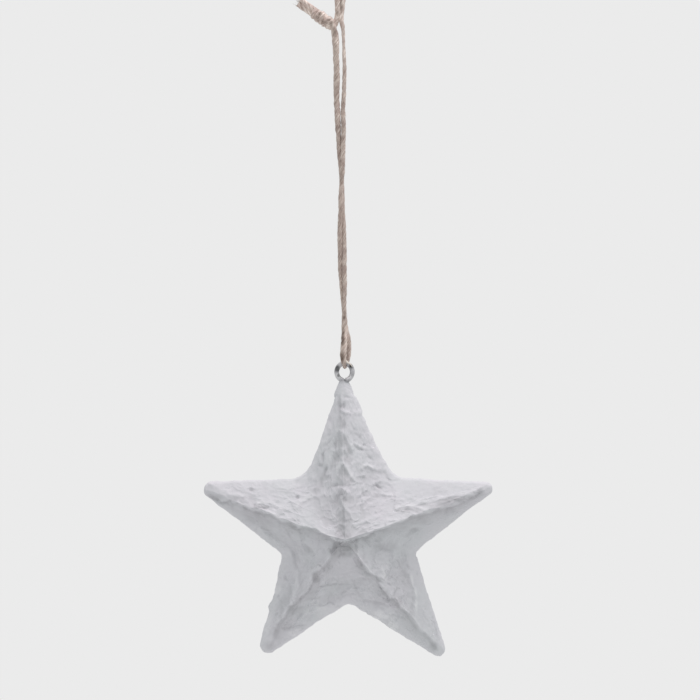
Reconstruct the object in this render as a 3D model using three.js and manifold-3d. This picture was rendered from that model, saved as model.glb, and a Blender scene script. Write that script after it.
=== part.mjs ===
// A hand-made papier-mache star that hangs from a metal eye on a loop of jute twine.
// Millimetres, +Z up. The origin is the top of the twine loop, where a nail or twig carries it.
// The star's front faces -Y and the star hangs in the XZ plane.
import * as THREE from 'three';
import { mergeVertices } from 'three/addons/utils/BufferGeometryUtils.js';
import Module from 'manifold-3d';

const wasm = await Module();
wasm.setup();

// Clearances
const GAP = 0.3; // between neighbouring pieces

// Star, seen from the front
const STAR_POINTS = 5;
const STAR_SIDE_SHIFT = 1.04; // the star hangs a little to the right of its eye
const TIP_RADIUS = 58; // centre to a tip's sharp corner, before it is rounded off
const NOTCH_RADIUS = 24; // centre to the corner between two arms
const TIP_ROUND = 3.0;
const NOTCH_ROUND = 5.5;
const TIP_ARC_STEPS = 5;
const NOTCH_ARC_STEPS = 3;
const EDGE_STEPS = 3; // divisions of each straight side between two roundings

// How far each corner stands off the true star, as it came out of the maker's hands: right, up
const TIP_SHIFTS = [[-1.5, -0.7], [-0.2, 0.7], [2.0, 0.2], [1.9, 1.9], [-0.2, 0.4]];
const NOTCH_SHIFTS = [[0.9, 0.4], [0.4, 1.5], [1.6, 1.9], [0.2, 0.8], [0.6, 0.7]];

// Star, seen from the side
const PEAK_HEIGHT = 17.5; // mid-plane to the middle of the front or back
const RIM_HALF = 1.8; // mid-plane to where the facets start, at the rim
const FRONT_PEAK_SHIFT = -1.4; // the front's middle stands a little to the left
const BACK_PEAK_SHIFT = 0.6;
const SWELL_RINGS = [1, 0.87, 0.72, 0.56, 0.4, 0.24, 0.1]; // shares of the rim where the skin may swell
const PLAIN_RINGS = [1, 0.72, 0.4, 0.1]; // enough where the skin doesn't swell
const FACET_SAG = 1.1; // how far a facet's middle lies under the flat face between ridge and rim
const TIP_SHARE = 0.1; // part of an arm's side that its rounded tip takes up

// Walls
const SKIN_WALL = 1.2; // pasted and painted paper
const CARD_WALL = 1.2; // pressed card under it
const TAPE_WALL = 0.5; // paper tape inside, over the join of the two card halves
const TAPE_REACH = 3.2; // how far the tape goes to each side of the join

// Gentle swells of the pasted paper, outwards only
const SWELL_HEIGHT = 0.45;
const SWELL_ACROSS = 0.31; // radians per millimetre
const SWELL_UP = 0.23;

// Metal eye
const WIRE_RADIUS = 0.85;
const EYE_HALF_WIDTH = 2.7; // to the middle of the wire
const EYE_HALF_HEIGHT = 2.95;
const EYE_STEPS = 28;
const WIRE_SIDES = 10;
const SHANK_LENGTH = 20; // below the eye
const THREAD_DEPTH = 0.22;
const THREAD_PITCH = 1.3;
const THREAD_START = 4; // plain neck above the thread
const POINT_LENGTH = 1.8;

// Paste round the eye's foot
const NECK = 0.65; // eye's underside to the tip of the star
const COLLAR_FOOT_RADIUS = 2.15;
const COLLAR_TOP_RADIUS = 1.65;
const COLLAR_HEIGHT = 2.1;

// Plug that the eye is screwed into
const PLUG_TOP_MARGIN = 0.5; // below the top of the hollow
const PLUG_LENGTH = 13;
const PILOT_EXTRA = 1.5; // pilot hole past the screw's point

// Twine
const TWINE_RADIUS = 0.85;
const TWINE_SIDES = 8;
const LOOP_DROP = 141.1; // top of the loop to the middle of the eye's top wire
const KNOT_LENGTH = 9.4;
const KNOT_CORE_RADIUS = 1.85;
const WRAP_REACH = 1.5; // knot's axis to the middle of the twine wound round it
const WRAP_SPAN = 3.6; // along the knot
const WRAP_TURNS = 2;
const WRAP_STEPS = 28;
const WRAP_END_REACH = 0.4; // share of the reach where the wound twine dives into the core
const KNOT_CENTRE = [-7.6, 0, -21.9];
const KNOT_TILT = THREE.MathUtils.degToRad(29.5); // its left end stands higher
const KNOT_SIDES = 14;
const KNOT_RINGS = 8;
const CUT_PAST_END = 0.3; // a socket runs this far past the strand in it

const pivotZ = -LOOP_DROP;
const eyeCentreZ = pivotZ - EYE_HALF_HEIGHT;
const eyeFootZ = eyeCentreZ - EYE_HALF_HEIGHT - WIRE_RADIUS;
const starTopZ = eyeFootZ - NECK;

// Routes of the twine's stretches, each a list of points chosen by hand
const TOP_LOOP_ROUTE = [
  [-4.4, 0.0, -21.6], [-3.5, 0.0, -19.8], [-2.9, 0.0, -16.5], [-2.9, 0.0, -12.5], [-3.5, 0.0, -8.5],
  [-3.8, 0.0, -4.6], [-2.8, 0.0, -1.9], [-0.3, 0.0, -0.85], [2.2, 0.0, -1.9], [3.2, 0.0, -4.5],
  [2.4, 0.0, -8.0], [0.7, 0.0, -11.4], [-0.4, 0.0, -15.0], [-0.6, 0.3, -19.0], [-0.5, 0.2, -23.0],
];
const RIGHT_LEG_ROUTE = [
  [-0.5, 0.2, -23.3], [-0.3, 0.0, -29.0], [-0.2, 0.0, -36.0], [-0.2, 0.0, -43.0], [-0.4, 0.0, -48.5],
  [-0.5, 0.0, -53.2], [-0.3, -0.3, -60.1], [-0.4, -0.7, -67.0], [-0.6, -0.9, -74.0], [-1.1, -1.0, -80.9],
  [-1.5, -0.9, -87.9], [-1.9, -0.5, -94.8], [-1.8, 0.0, -101.7], [-1.7, 0.4, -108.7], [-1.1, 0.8, -115.6],
  [-0.8, 0.9, -119.0],
];
const LEFT_LEG_ROUTE = [
  [-4.4, 0.0, -24.0], [-3.5, 0.0, -26.0], [-3.2, 0.0, -30.0], [-2.8, 0.0, -36.0], [-2.9, 0.0, -43.0],
  [-2.8, 0.0, -48.5], [-2.5, 0.0, -53.2], [-2.2, 0.3, -60.1], [-1.9, 0.7, -67.0], [-1.3, 0.9, -74.0],
  [-1.0, 1.0, -80.9], [-0.5, 0.9, -87.9], [-0.1, 0.5, -94.8], [0.2, 0.0, -101.7], [0.2, -0.4, -108.7],
  [0.1, -0.8, -115.6], [0.0, -0.9, -119.0],
];
const EYE_BIGHT_ROUTE = [
  [0.0, -0.9, -119.3], [-0.1, -1.0, -124.0], [-0.4, -1.1, -129.0], [-0.4, -1.6, -132.8],
  [-0.6, -2.3, -136.0], [-0.7, -2.6, -138.9], [-0.3, -2.5, -141.1], [0.0, -1.6, -142.7],
  [0.1, 0.0, -143.2], [0.3, 1.6, -142.7], [0.8, 2.5, -141.1], [1.5, 2.6, -138.9], [1.7, 2.3, -136.3],
  [1.2, 1.6, -133.0], [0.4, 1.1, -129.0], [-0.4, 1.0, -124.0], [-0.8, 0.9, -119.3],
];
const UPPER_TAIL_ROUTE = [[-10.6, -0.2, -19.2], [-13.2, -0.3, -17.4], [-16.3, -0.3, -15.7]];
const LOWER_TAIL_ROUTE = [[-11.3, 0.3, -20.7], [-13.9, 0.4, -19.1], [-16.9, 0.3, -17.3]];

// Colours as they show
const WHITE_PAINT = { color: 0xccccd0, roughness: 0.9, metalness: 0 };
const RAW_CARD = { color: 0xa89a84, roughness: 0.95, metalness: 0 };
const RAW_TAPE = { color: 0xc9b48c, roughness: 0.9, metalness: 0 };
const PALE_WOOD = { color: 0xc8ab7c, roughness: 0.8, metalness: 0 };
const GREY_METAL = { color: 0xa8a8aa, roughness: 0.4, metalness: 0.9 };
const JUTE = { color: 0xa89a8e, roughness: 0.95, metalness: 0 };

const star = new THREE.Group();

function addPiece(name, geometry, look) {
  const mesh = new THREE.Mesh(geometry, new THREE.MeshStandardMaterial(look));
  mesh.name = name;
  star.add(mesh);
}

// Joining and cutting
function toSolid(geometry) {
  const bare = geometry.clone();
  bare.deleteAttribute('normal');
  bare.deleteAttribute('uv');
  const merged = mergeVertices(bare, 1e-4);
  return new wasm.Manifold(new wasm.Mesh({
    numProp: 3,
    vertProperties: new Float32Array(merged.attributes.position.array),
    triVerts: new Uint32Array(merged.index.array),
  }));
}

function toGeometry(solid) {
  const mesh = solid.getMesh();
  const geometry = new THREE.BufferGeometry();
  geometry.setAttribute('position', new THREE.BufferAttribute(new Float32Array(mesh.vertProperties), 3));
  geometry.setIndex(new THREE.BufferAttribute(new Uint32Array(mesh.triVerts), 1));
  return geometry;
}

// Straight round tube, or one that follows a route
function polygon(radius, sides) {
  const corners = [];
  for (let i = 0; i < sides; i += 1) {
    const angle = (2 * Math.PI * i) / sides;
    corners.push(new THREE.Vector2(radius * Math.cos(angle), radius * Math.sin(angle)));
  }
  return new THREE.Shape(corners);
}

function tube(route, radius, steps) {
  const points = route.map(([x, y, z]) => new THREE.Vector3(x, y, z));
  const path = new THREE.CatmullRomCurve3(points, false, 'centripetal');
  return new THREE.ExtrudeGeometry(polygon(radius, TWINE_SIDES), {
    steps,
    bevelEnabled: false,
    extrudePath: path,
  });
}

function turned(profile, sides) {
  const points = profile.map(([radius, z]) => new THREE.Vector2(radius, z));
  return new THREE.LatheGeometry(points, sides).rotateX(Math.PI / 2);
}

// Star outline in the XZ plane round the star's own centre: straight sides, every corner rounded by an arc
function corner(radius, share, shift) {
  const angle = (2 * Math.PI * share) / STAR_POINTS;
  return new THREE.Vector2(radius * Math.sin(angle) + shift[0], radius * Math.cos(angle) + shift[1]);
}

function starCorners() {
  const corners = [];
  for (let i = 0; i < STAR_POINTS; i += 1) {
    const tip = corner(TIP_RADIUS, i, TIP_SHIFTS[i]);
    const notch = corner(NOTCH_RADIUS, i + 0.5, NOTCH_SHIFTS[i]);
    corners.push({ at: tip, round: TIP_ROUND, steps: TIP_ARC_STEPS });
    corners.push({ at: notch, round: NOTCH_ROUND, steps: NOTCH_ARC_STEPS });
  }
  return corners;
}

// Points of the arc that rounds one corner, from the side it comes in on to the side it leaves by
function roundedCorner(before, here, after) {
  const incoming = before.at.clone().sub(here.at).normalize();
  const outgoing = after.at.clone().sub(here.at).normalize();
  const half = Math.acos(THREE.MathUtils.clamp(incoming.dot(outgoing), -1, 1)) / 2;
  const middle = incoming.clone().add(outgoing).normalize();
  const centre = here.at.clone().addScaledVector(middle, here.round / Math.sin(half));
  const start = here.at.clone().addScaledVector(incoming, here.round / Math.tan(half)).sub(centre);
  const end = here.at.clone().addScaledVector(outgoing, here.round / Math.tan(half)).sub(centre);
  const sweep = Math.atan2(start.cross(end), start.dot(end));
  const arc = [];
  for (let i = 0; i <= here.steps; i += 1) {
    arc.push(start.clone().rotateAround(new THREE.Vector2(), (sweep * i) / here.steps).add(centre));
  }
  return arc;
}

// How far a point of the outline has come from an arm's tip (0) to the corner between two arms (1)
function tipToNotch(point, corners) {
  let nearest = Infinity;
  let share = 0;
  for (let i = 0; i < corners.length; i += 1) {
    const ends = [corners[i].at, corners[(i + 1) % corners.length].at];
    const [tip, notch] = i % 2 === 0 ? ends : ends.reverse();
    const side = notch.clone().sub(tip);
    const along = THREE.MathUtils.clamp(point.clone().sub(tip).dot(side) / side.lengthSq(), 0, 1);
    const distance = tip.clone().addScaledVector(side, along).distanceTo(point);
    if (distance < nearest) {
      nearest = distance;
      share = along;
    }
  }
  return Math.max(0, (share - TIP_SHARE) / (1 - TIP_SHARE));
}

function starOutline() {
  const corners = starCorners();
  const outline = [];
  for (let i = 0; i < corners.length; i += 1) {
    const before = corners.at(i - 1);
    const after = corners[(i + 1) % corners.length];
    const arc = roundedCorner(before, corners[i], after);
    if (i > 0) {
      const last = outline.at(-1);
      for (let j = 1; j < EDGE_STEPS; j += 1) outline.push(last.clone().lerp(arc[0], j / EDGE_STEPS));
    }
    outline.push(...arc);
  }
  const last = outline.at(-1);
  const first = outline[0];
  for (let j = 1; j < EDGE_STEPS; j += 1) outline.push(last.clone().lerp(first, j / EDGE_STEPS));
  return outline.map(({ x, y }) => ({ x, y, fold: tipToNotch(new THREE.Vector2(x, y), corners) }));
}

const outline = starOutline();
const topReach = Math.max(...outline.map((point) => point.y));
const starCentreZ = starTopZ - topReach;

// Distance from the star's middle to a facet, which turns a wall's thickness into a share of the size
function facetDistance() {
  const tip = corner(TIP_RADIUS, 0, [0, 0]);
  const notch = corner(NOTCH_RADIUS, 0.5, [0, 0]);
  const apothem = Math.abs(tip.cross(notch)) / tip.distanceTo(notch);
  return (PEAK_HEIGHT * apothem) / Math.hypot(apothem, PEAK_HEIGHT - RIM_HALF) - FACET_SAG;
}

const wallToShare = 1 / facetDistance();
const skinInside = 1 - SKIN_WALL * wallToShare;
const cardOutside = skinInside - GAP * wallToShare;
const cardInside = cardOutside - CARD_WALL * wallToShare;
const tapeOutside = cardInside - GAP * wallToShare;
const tapeInside = tapeOutside - TAPE_WALL * wallToShare;
const plugOutside = tapeInside - GAP * wallToShare;

// One point of a faceted half: share 1 is the rim and 0 the middle; size scales the whole half
function halfPoint(point, share, size, side, peakShift, swell) {
  const x = size * (point.x * share + peakShift * (1 - share));
  const z = size * point.y * share;
  const fade = Math.min(1, 4 * share * (1 - share));
  const sag = FACET_SAG * fade * Math.sin(Math.PI * point.fold);
  const rise = RIM_HALF + (PEAK_HEIGHT - RIM_HALF) * (1 - share) - sag;
  const wave = Math.sin(SWELL_ACROSS * x + SWELL_UP * z) * Math.sin(SWELL_ACROSS * z - SWELL_UP * x + side);
  const lift = swell * fade * (0.5 + 0.5 * wave);
  return [STAR_SIDE_SHIFT + x, side * (size * rise + lift), starCentreZ + z];
}

function facing(triangles, flip) {
  return flip ? triangles.map(([a, b, c]) => [a, c, b]) : triangles;
}

function meshFrom(vertices, triangles) {
  const geometry = new THREE.BufferGeometry();
  geometry.setAttribute('position', new THREE.Float32BufferAttribute(vertices.flat(), 3));
  geometry.setIndex(triangles.flat());
  return geometry;
}

// Rings of points from rim to middle, with the triangles between them, clockwise as seen from the front
function facetedCap(vertices, size, side, peakShift, swell) {
  const rings = swell > 0 ? SWELL_RINGS : PLAIN_RINGS;
  const count = outline.length;
  const first = vertices.length;
  for (const share of rings) {
    for (const point of outline) vertices.push(halfPoint(point, share, size, side, peakShift, swell));
  }
  const apex = vertices.length;
  vertices.push(halfPoint(outline[0], 0, size, side, peakShift, 0));
  const triangles = [];
  for (let ring = 0; ring < rings.length; ring += 1) {
    for (let i = 0; i < count; i += 1) {
      const next = (i + 1) % count;
      const here = first + ring * count;
      if (ring === rings.length - 1) {
        triangles.push([here + i, here + next, apex]);
      } else {
        triangles.push([here + i, here + next, here + count + next]);
        triangles.push([here + i, here + count + next, here + count + i]);
      }
    }
  }
  return { first, triangles };
}

// Triangles between two rings of points that run the same way round
function band(ring, otherRing, count) {
  const triangles = [];
  for (let i = 0; i < count; i += 1) {
    const next = (i + 1) % count;
    triangles.push([ring + i, ring + next, otherRing + next]);
    triangles.push([ring + i, otherRing + next, otherRing + i]);
  }
  return triangles;
}

// Hollow half of the star between two sizes, open at the mid-plane; side -1 is the front and 1 the back
function halfShell(side, outerSize, innerSize, swell) {
  const count = outline.length;
  const peakShift = side < 0 ? FRONT_PEAK_SHIFT : BACK_PEAK_SHIFT;
  const vertices = [];
  const outer = facetedCap(vertices, outerSize, side, peakShift, swell);
  const inner = facetedCap(vertices, innerSize, side, peakShift, 0);
  const rims = [outerSize, innerSize].map((size) => {
    const start = vertices.length;
    for (const { x, y } of outline) {
      vertices.push([STAR_SIDE_SHIFT + size * x, (side * GAP) / 2, starCentreZ + size * y]);
    }
    return start;
  });
  const [outerRim, innerRim] = rims;
  const walls = [
    ...band(outerRim, outer.first, count),
    ...facing(band(innerRim, inner.first, count), true),
    ...facing(band(outerRim, innerRim, count), true),
  ];
  const inward = inner.triangles.map(([a, b, c]) => [a, c, b]);
  return meshFrom(vertices, facing([...outer.triangles, ...inward, ...walls], side < 0));
}

// Solid star of one size, both halves in one body
function solidStar(size) {
  const vertices = [];
  const front = facetedCap(vertices, size, -1, FRONT_PEAK_SHIFT, 0);
  const back = facetedCap(vertices, size, 1, BACK_PEAK_SHIFT, 0);
  const rim = band(front.first, back.first, outline.length);
  const triangles = [...facing(front.triangles, true), ...back.triangles, ...rim];
  return toSolid(meshFrom(vertices, triangles));
}

function block(low, high) {
  const size = high.map((value, i) => value - low[i]);
  const middle = high.map((value, i) => (value + low[i]) / 2);
  return toSolid(new THREE.BoxGeometry(...size).translate(...middle));
}

// Eye and its threaded shank, bent from one wire
function shankProfile(extra) {
  const top = eyeCentreZ - EYE_HALF_HEIGHT;
  const end = eyeFootZ - SHANK_LENGTH;
  const profile = [[0, top], [WIRE_RADIUS + extra, top], [WIRE_RADIUS + extra, eyeFootZ - THREAD_START]];
  if (extra > 0) {
    profile.push([WIRE_RADIUS + extra, end - PILOT_EXTRA], [0, end - PILOT_EXTRA]);
    return profile;
  }
  const threadEnd = end + POINT_LENGTH;
  const turns = Math.floor((eyeFootZ - THREAD_START - threadEnd) / THREAD_PITCH);
  for (let i = 0; i < turns; i += 1) {
    const z = eyeFootZ - THREAD_START - i * THREAD_PITCH;
    profile.push([WIRE_RADIUS - THREAD_DEPTH, z - THREAD_PITCH / 2], [WIRE_RADIUS, z - THREAD_PITCH]);
  }
  profile.push([0, end]);
  return profile;
}

function eyeRing(wireRadius) {
  const ring = new THREE.TorusGeometry(EYE_HALF_WIDTH, wireRadius, WIRE_SIDES, EYE_STEPS);
  ring.rotateX(Math.PI / 2);
  ring.scale(1, 1, EYE_HALF_HEIGHT / EYE_HALF_WIDTH);
  return ring.translate(0, 0, eyeCentreZ);
}

function shank(extra) {
  return toSolid(turned(shankProfile(extra).reverse(), WIRE_SIDES));
}

const shankRoom = shank(GAP);

function drilled(geometry) {
  return toGeometry(toSolid(geometry).subtract(shankRoom));
}

const front = -1;
const back = 1;
addPiece('front_paper_skin', drilled(halfShell(front, 1, skinInside, SWELL_HEIGHT)), WHITE_PAINT);
addPiece('back_paper_skin', drilled(halfShell(back, 1, skinInside, SWELL_HEIGHT)), WHITE_PAINT);
addPiece('front_card_form', drilled(halfShell(front, cardOutside, cardInside, 0)), RAW_CARD);
addPiece('back_card_form', drilled(halfShell(back, cardOutside, cardInside, 0)), RAW_CARD);

const tapeLow = [-TIP_RADIUS, -TAPE_REACH, starCentreZ - TIP_RADIUS];
const tapeSlab = block(tapeLow, [TIP_RADIUS, TAPE_REACH, starTopZ]);
const tapeShell = solidStar(tapeOutside).subtract(solidStar(tapeInside));
addPiece('seam_tape', toGeometry(tapeShell.intersect(tapeSlab).subtract(shankRoom)), RAW_TAPE);

const plugTopZ = starCentreZ + plugOutside * topReach - PLUG_TOP_MARGIN;
const plugLow = [-TIP_RADIUS, -PEAK_HEIGHT, plugTopZ - PLUG_LENGTH];
const plugSlab = block(plugLow, [TIP_RADIUS, PEAK_HEIGHT, plugTopZ]);
const plug = solidStar(plugOutside).intersect(plugSlab).subtract(shankRoom);
addPiece('eye_plug', toGeometry(plug), PALE_WOOD);

addPiece('screw_eye', toGeometry(toSolid(eyeRing(WIRE_RADIUS)).add(shank(0))), GREY_METAL);

const collarFootZ = starTopZ + GAP;
const collarProfile = [
  [0, collarFootZ], [COLLAR_FOOT_RADIUS, collarFootZ], [COLLAR_FOOT_RADIUS, collarFootZ + COLLAR_HEIGHT / 3],
  [COLLAR_TOP_RADIUS, collarFootZ + COLLAR_HEIGHT], [0, collarFootZ + COLLAR_HEIGHT],
];
const collar = toSolid(turned(collarProfile, WIRE_SIDES * 2));
const collarRoom = toSolid(eyeRing(WIRE_RADIUS + GAP)).add(shankRoom);
addPiece('eye_collar', toGeometry(collar.subtract(collarRoom)), WHITE_PAINT);

// Twine: stretches and how many steps each takes
const strands = [
  ['twine_top_loop', TOP_LOOP_ROUTE, 20],
  ['twine_left_leg', LEFT_LEG_ROUTE, 19],
  ['twine_right_leg', RIGHT_LEG_ROUTE, 19],
  ['twine_eye_bight', EYE_BIGHT_ROUTE, 22],
  ['twine_tail_upper', UPPER_TAIL_ROUTE, 2],
  ['twine_tail_lower', LOWER_TAIL_ROUTE, 2],
];
for (const [name, route, steps] of strands) addPiece(name, tube(route, TWINE_RADIUS, steps), JUTE);

// A socket in the knot for a strand that runs into it, a little longer and wider than the strand
function socket(route, steps) {
  const [end, next] = route.map((point) => new THREE.Vector3(...point));
  const past = end.clone().add(end.clone().sub(next).setLength(CUT_PAST_END));
  return toSolid(tube([past.toArray(), ...route], TWINE_RADIUS + GAP, steps));
}

// Knot: a core with the twine's turns round it, made along Z and then laid at its tilt
const coreProfile = [];
for (let i = 0; i <= KNOT_RINGS; i += 1) {
  const angle = (Math.PI * i) / KNOT_RINGS - Math.PI / 2;
  coreProfile.push([KNOT_CORE_RADIUS * Math.cos(angle), (KNOT_LENGTH / 2) * Math.sin(angle)]);
}
const wrapRoute = [];
for (let i = 0; i <= WRAP_STEPS; i += 1) {
  const share = i / WRAP_STEPS;
  const angle = 2 * Math.PI * WRAP_TURNS * share;
  const reach = WRAP_REACH * Math.min(1, WRAP_END_REACH + 3 * Math.min(share, 1 - share));
  wrapRoute.push([reach * Math.cos(angle), reach * Math.sin(angle), WRAP_SPAN * (share - 0.5)]);
}

function laidAtKnot(geometry) {
  return toSolid(geometry.rotateY(-Math.PI / 2 + KNOT_TILT).translate(...KNOT_CENTRE));
}

let knot = laidAtKnot(turned(coreProfile, KNOT_SIDES));
knot = knot.add(laidAtKnot(tube(wrapRoute, TWINE_RADIUS, WRAP_STEPS)));
const passBy = ['twine_eye_bight', 'twine_right_leg'];
for (const [name, route, steps] of strands) {
  if (!passBy.includes(name)) knot = knot.subtract(socket(route, steps + 1));
}

// The sockets leave slivers at the core's two ends, which are dropped
const bodies = knot.decompose().sort((a, b) => b.volume() - a.volume());
addPiece('twine_knot', toGeometry(bodies[0]), JUTE);

export default star;
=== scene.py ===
# A rough white papier-mache star on a loop of jute twine, photographed from straight in front.
# Metres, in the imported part's own frame: the origin is the top of the twine loop, +Z is up and the front is -Y.
import math
import bpy
import numpy as np
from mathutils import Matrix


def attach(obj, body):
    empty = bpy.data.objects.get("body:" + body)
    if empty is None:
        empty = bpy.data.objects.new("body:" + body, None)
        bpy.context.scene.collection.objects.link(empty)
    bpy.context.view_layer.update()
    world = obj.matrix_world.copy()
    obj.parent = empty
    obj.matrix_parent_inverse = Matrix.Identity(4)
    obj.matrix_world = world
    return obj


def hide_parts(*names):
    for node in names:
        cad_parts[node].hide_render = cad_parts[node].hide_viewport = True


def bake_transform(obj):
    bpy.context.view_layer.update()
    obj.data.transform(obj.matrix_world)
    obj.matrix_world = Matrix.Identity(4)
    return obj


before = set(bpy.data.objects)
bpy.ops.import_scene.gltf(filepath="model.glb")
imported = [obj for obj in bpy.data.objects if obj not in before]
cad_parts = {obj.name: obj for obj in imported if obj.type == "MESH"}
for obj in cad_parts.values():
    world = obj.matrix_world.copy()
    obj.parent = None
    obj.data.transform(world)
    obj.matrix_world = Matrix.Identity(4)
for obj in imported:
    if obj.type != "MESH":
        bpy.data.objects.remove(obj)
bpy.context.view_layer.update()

MM = 0.001

# Camera
PHOTO_SIZE = 700  # pixels each way
PIXEL = 0.347 * MM  # one pixel of the photo at the star's mid-plane
VIEW_DISTANCE = 548 * MM
HALF_FIELD = math.radians(12.5)
VIEW_X = 1.9 * MM
VIEW_Z = -136.45 * MM

# Star, in millimetres as in the part's source
STAR_POINTS = 5
TIP_RADIUS = 58
NOTCH_RADIUS = 24
# Clockwise from the top: each tip's and each notch's rounding, and how far it stands from its even place
TIP_ROUNDS = [2.6, 2.3, 2.6, 2.9, 3.0]
NOTCH_ROUNDS = [8.0, 2.0, 4.1, 2.0, 9.0]
TIP_SHIFTS = [(-1.4, -2.0), (-0.9, -0.3), (1.8, 1.2), (1.9, 1.9), (-0.4, 0.1)]
NOTCH_SHIFTS = [(1.3, 0.4), (0.5, 1.0), (0.6, 0.1), (0.2, 0.3), (-0.3, -0.2)]
STAR_SIDE_SHIFT = 1.04
PEAK_HEIGHT = 17.4
FRONT_PEAK_SHIFT = -0.8
BACK_PEAK_SHIFT = 0.6
RIM_ROUND = 2.6  # the rolled edge, from the front round to the back
RIM_START = math.radians(40)  # where the facets run into the rolled edge
SKIN_WALL_SHARE = 0.1  # the pasted paper's thickness as a share of the star's size

# Facets clockwise from the top arm's right one: how far each is hollowed in its middle, in millimetres,
# and how far more it is hollowed close under its ridge
FACET_SAGS = [0.8, 0.6, 1.1, 1.1, 1.1, 1.1, 1.1, 1.1, 0.6, 0.8]
RIDGE_SAGS = [0.0, 0.0, 0.5, 0.2, 0.5, 0.5, 0.2, 0.5, 0.0, 0.0]
# How far each arm's ridge bows sideways, clockwise from the top arm: right, up
RIDGE_BOWS = [(0.0, 0.0), (-0.2, -0.6), (-1.1, 0.0), (-1.2, 0.2), (-0.3, -1.4)]

DARKEST_SHADE = 0.50
BACK_ROUGHNESS = 1.3  # how much rougher the back's relief is than the front's, which has its marks besides
# How far each arm's crest is rounded off, and over what distance it fades
RIDGE_WEARS = [0.50, 0.0, 0.1, 0.1, 0.0]
WEAR_WIDTH = 0.75

DEEPEST_HOLLOW = -0.8
CARD_COVER = 0.2  # the least paper left over the skin's inner face
OUTLINE_POINTS = 760
FACET_RINGS = 112
RIM_RINGS = 8
BACK_RING_STEP = 2  # the back takes every second ring
INNER_SHARES = (1.0, 0.75, 0.5, 0.25)

# Twine
TWINE_STEP = 0.28 * MM
TWINE_SIDES = 32

# Routes of the twine's stretches in millimetres, each a list of given points
UPPER_TAIL_ROUTE = [(-15.2, -0.2, -14.9), (-12.2, -0.2, -17.3), (-10.6, -0.2, -18.5)]
TOP_LOOP_ROUTE = [
    (-3.7, 0.5, -23.6), (-2.7, 0.5, -21.8), (-2.3, 0.2, -19.2), (-2.35, 0.0, -16.4), (-2.6, 0.0, -12.5),
    (-3.4, 0.0, -8.5),
    (-3.8, 0.0, -4.6), (-2.8, 0.0, -1.9), (-0.3, 0.0, -0.85), (2.2, 0.0, -1.9), (3.2, 0.0, -4.5),
    (2.2, 0.0, -8.0), (0.3, 0.0, -11.4), (-0.55, 0.0, -15.0), (-0.9, 0.2, -18.6),
]
RIGHT_LEG_ROUTE = [
    (-1.15, 0.1, -21.6), (-0.5, 0.0, -25.5), (-0.2, 0.0, -33.0), (0.0, 0.0, -39.5), (-0.2, 0.0, -47.0),
    (-0.5, 0.0, -53.2), (-0.1, -0.3, -60.1), (-0.25, -0.7, -67.0), (-0.6, -0.9, -74.0), (-1.25, -1.0, -80.9),
    (-1.5, -0.9, -87.9), (-1.9, -0.5, -94.8), (-1.8, 0.0, -101.7), (-1.7, 0.4, -108.7), (-1.1, 0.8, -115.6),
]
LEFT_LEG_ROUTE = [
    (-4.5, -0.3, -23.4), (-3.6, -0.2, -25.4), (-3.1, 0.0, -29.0), (-2.95, 0.0, -34.0), (-2.7, 0.0, -41.0),
    (-2.8, 0.0, -48.5), (-2.5, 0.0, -53.2), (-2.4, 0.3, -60.1), (-2.0, 0.7, -67.0), (-1.3, 0.9, -74.0),
    (-0.75, 1.0, -80.9), (-0.5, 0.9, -87.9), (-0.1, 0.5, -94.8), (0.2, 0.0, -101.7), (0.2, -0.4, -108.7),
    (0.25, -0.8, -115.6),
]
EYE_BIGHT_ROUTE = [
    (0.12, -0.9, -119.3), (0.0, -1.0, -124.0), (-0.1, -1.1, -129.0), (-0.1, -1.5, -132.8),
    (-0.3, -2.0, -136.0), (-0.45, -2.3, -138.9), (-0.2, -2.1, -140.9), (0.0, -1.3, -142.1),
    (0.1, 0.0, -142.45), (0.25, 1.2, -142.1), (0.6, 2.05, -140.9), (1.15, 2.35, -138.9), (1.35, 1.9, -136.0),
    (1.3, 1.4, -133.0), (0.6, 1.0, -129.0), (0.1, 1.0, -124.0), (-0.6, 0.9, -119.3),
]
LOWER_TAIL_ROUTE = [(-11.3, 0.2, -19.6), (-13.1, 0.2, -18.4), (-16.1, 0.2, -16.3)]
KNOT_CENTRE = (-7.4, 0.0, -21.6)
KNOT_TILT = math.radians(34)

# The twine's way through the knot: along its axis, turn round it in degrees from its upper side, distance off
UPPER_STRAND_IN_KNOT = [
    (3.4, 20, 0.6), (1.7, 60, 0.55), (-0.4, 110, 0.5), (-2.2, 150, 0.6), (-3.1, 210, 0.75),
    (-3.2, 285, 0.95), (-3.1, 360, 1.1), (-2.9, 435, 1.2), (-2.6, 510, 1.25), (-2.35, 585, 1.3),
    (-2.1, 660, 1.35), (-1.8, 735, 1.35), (-1.5, 810, 1.35), (-1.2, 885, 1.35), (-0.9, 960, 1.35),
    (-0.6, 1035, 1.3), (-0.4, 1100, 1.1), (-1.6, 1190, 0.8), (-3.2, 1250, 0.8),
]
LOWER_STRAND_IN_KNOT = [
    (-3.3, 200, 0.9), (-1.4, 250, 0.55), (0.8, 290, 0.5), (2.6, 330, 0.7), (3.6, 400, 1.1),
    (3.6, 470, 1.1), (3.3, 545, 1.15), (3.0, 620, 1.2), (2.7, 695, 1.25), (2.4, 770, 1.3),
    (2.1, 845, 1.35), (1.8, 920, 1.35), (1.5, 995, 1.35), (1.2, 1070, 1.35), (0.9, 1145, 1.35),
    (0.6, 1220, 1.35), (0.35, 1295, 1.35), (0.2, 1370, 1.35), (0.15, 1445, 1.2), (0.5, 1520, 0.9),
    (1.7, 1590, 0.7), (3.4, 1620, 0.6),
]

# Metal eye
WIRE_RADIUS = 0.85
EYE_HALF_WIDTH = 2.7
EYE_HALF_HEIGHT = 2.95
EYE_CENTRE_Z = -144.05
SHANK_END_Z = -167.8
THREAD_DEPTH = 0.22
THREAD_PITCH = 1.3
THREAD_TOP_Z = -151.8

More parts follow.
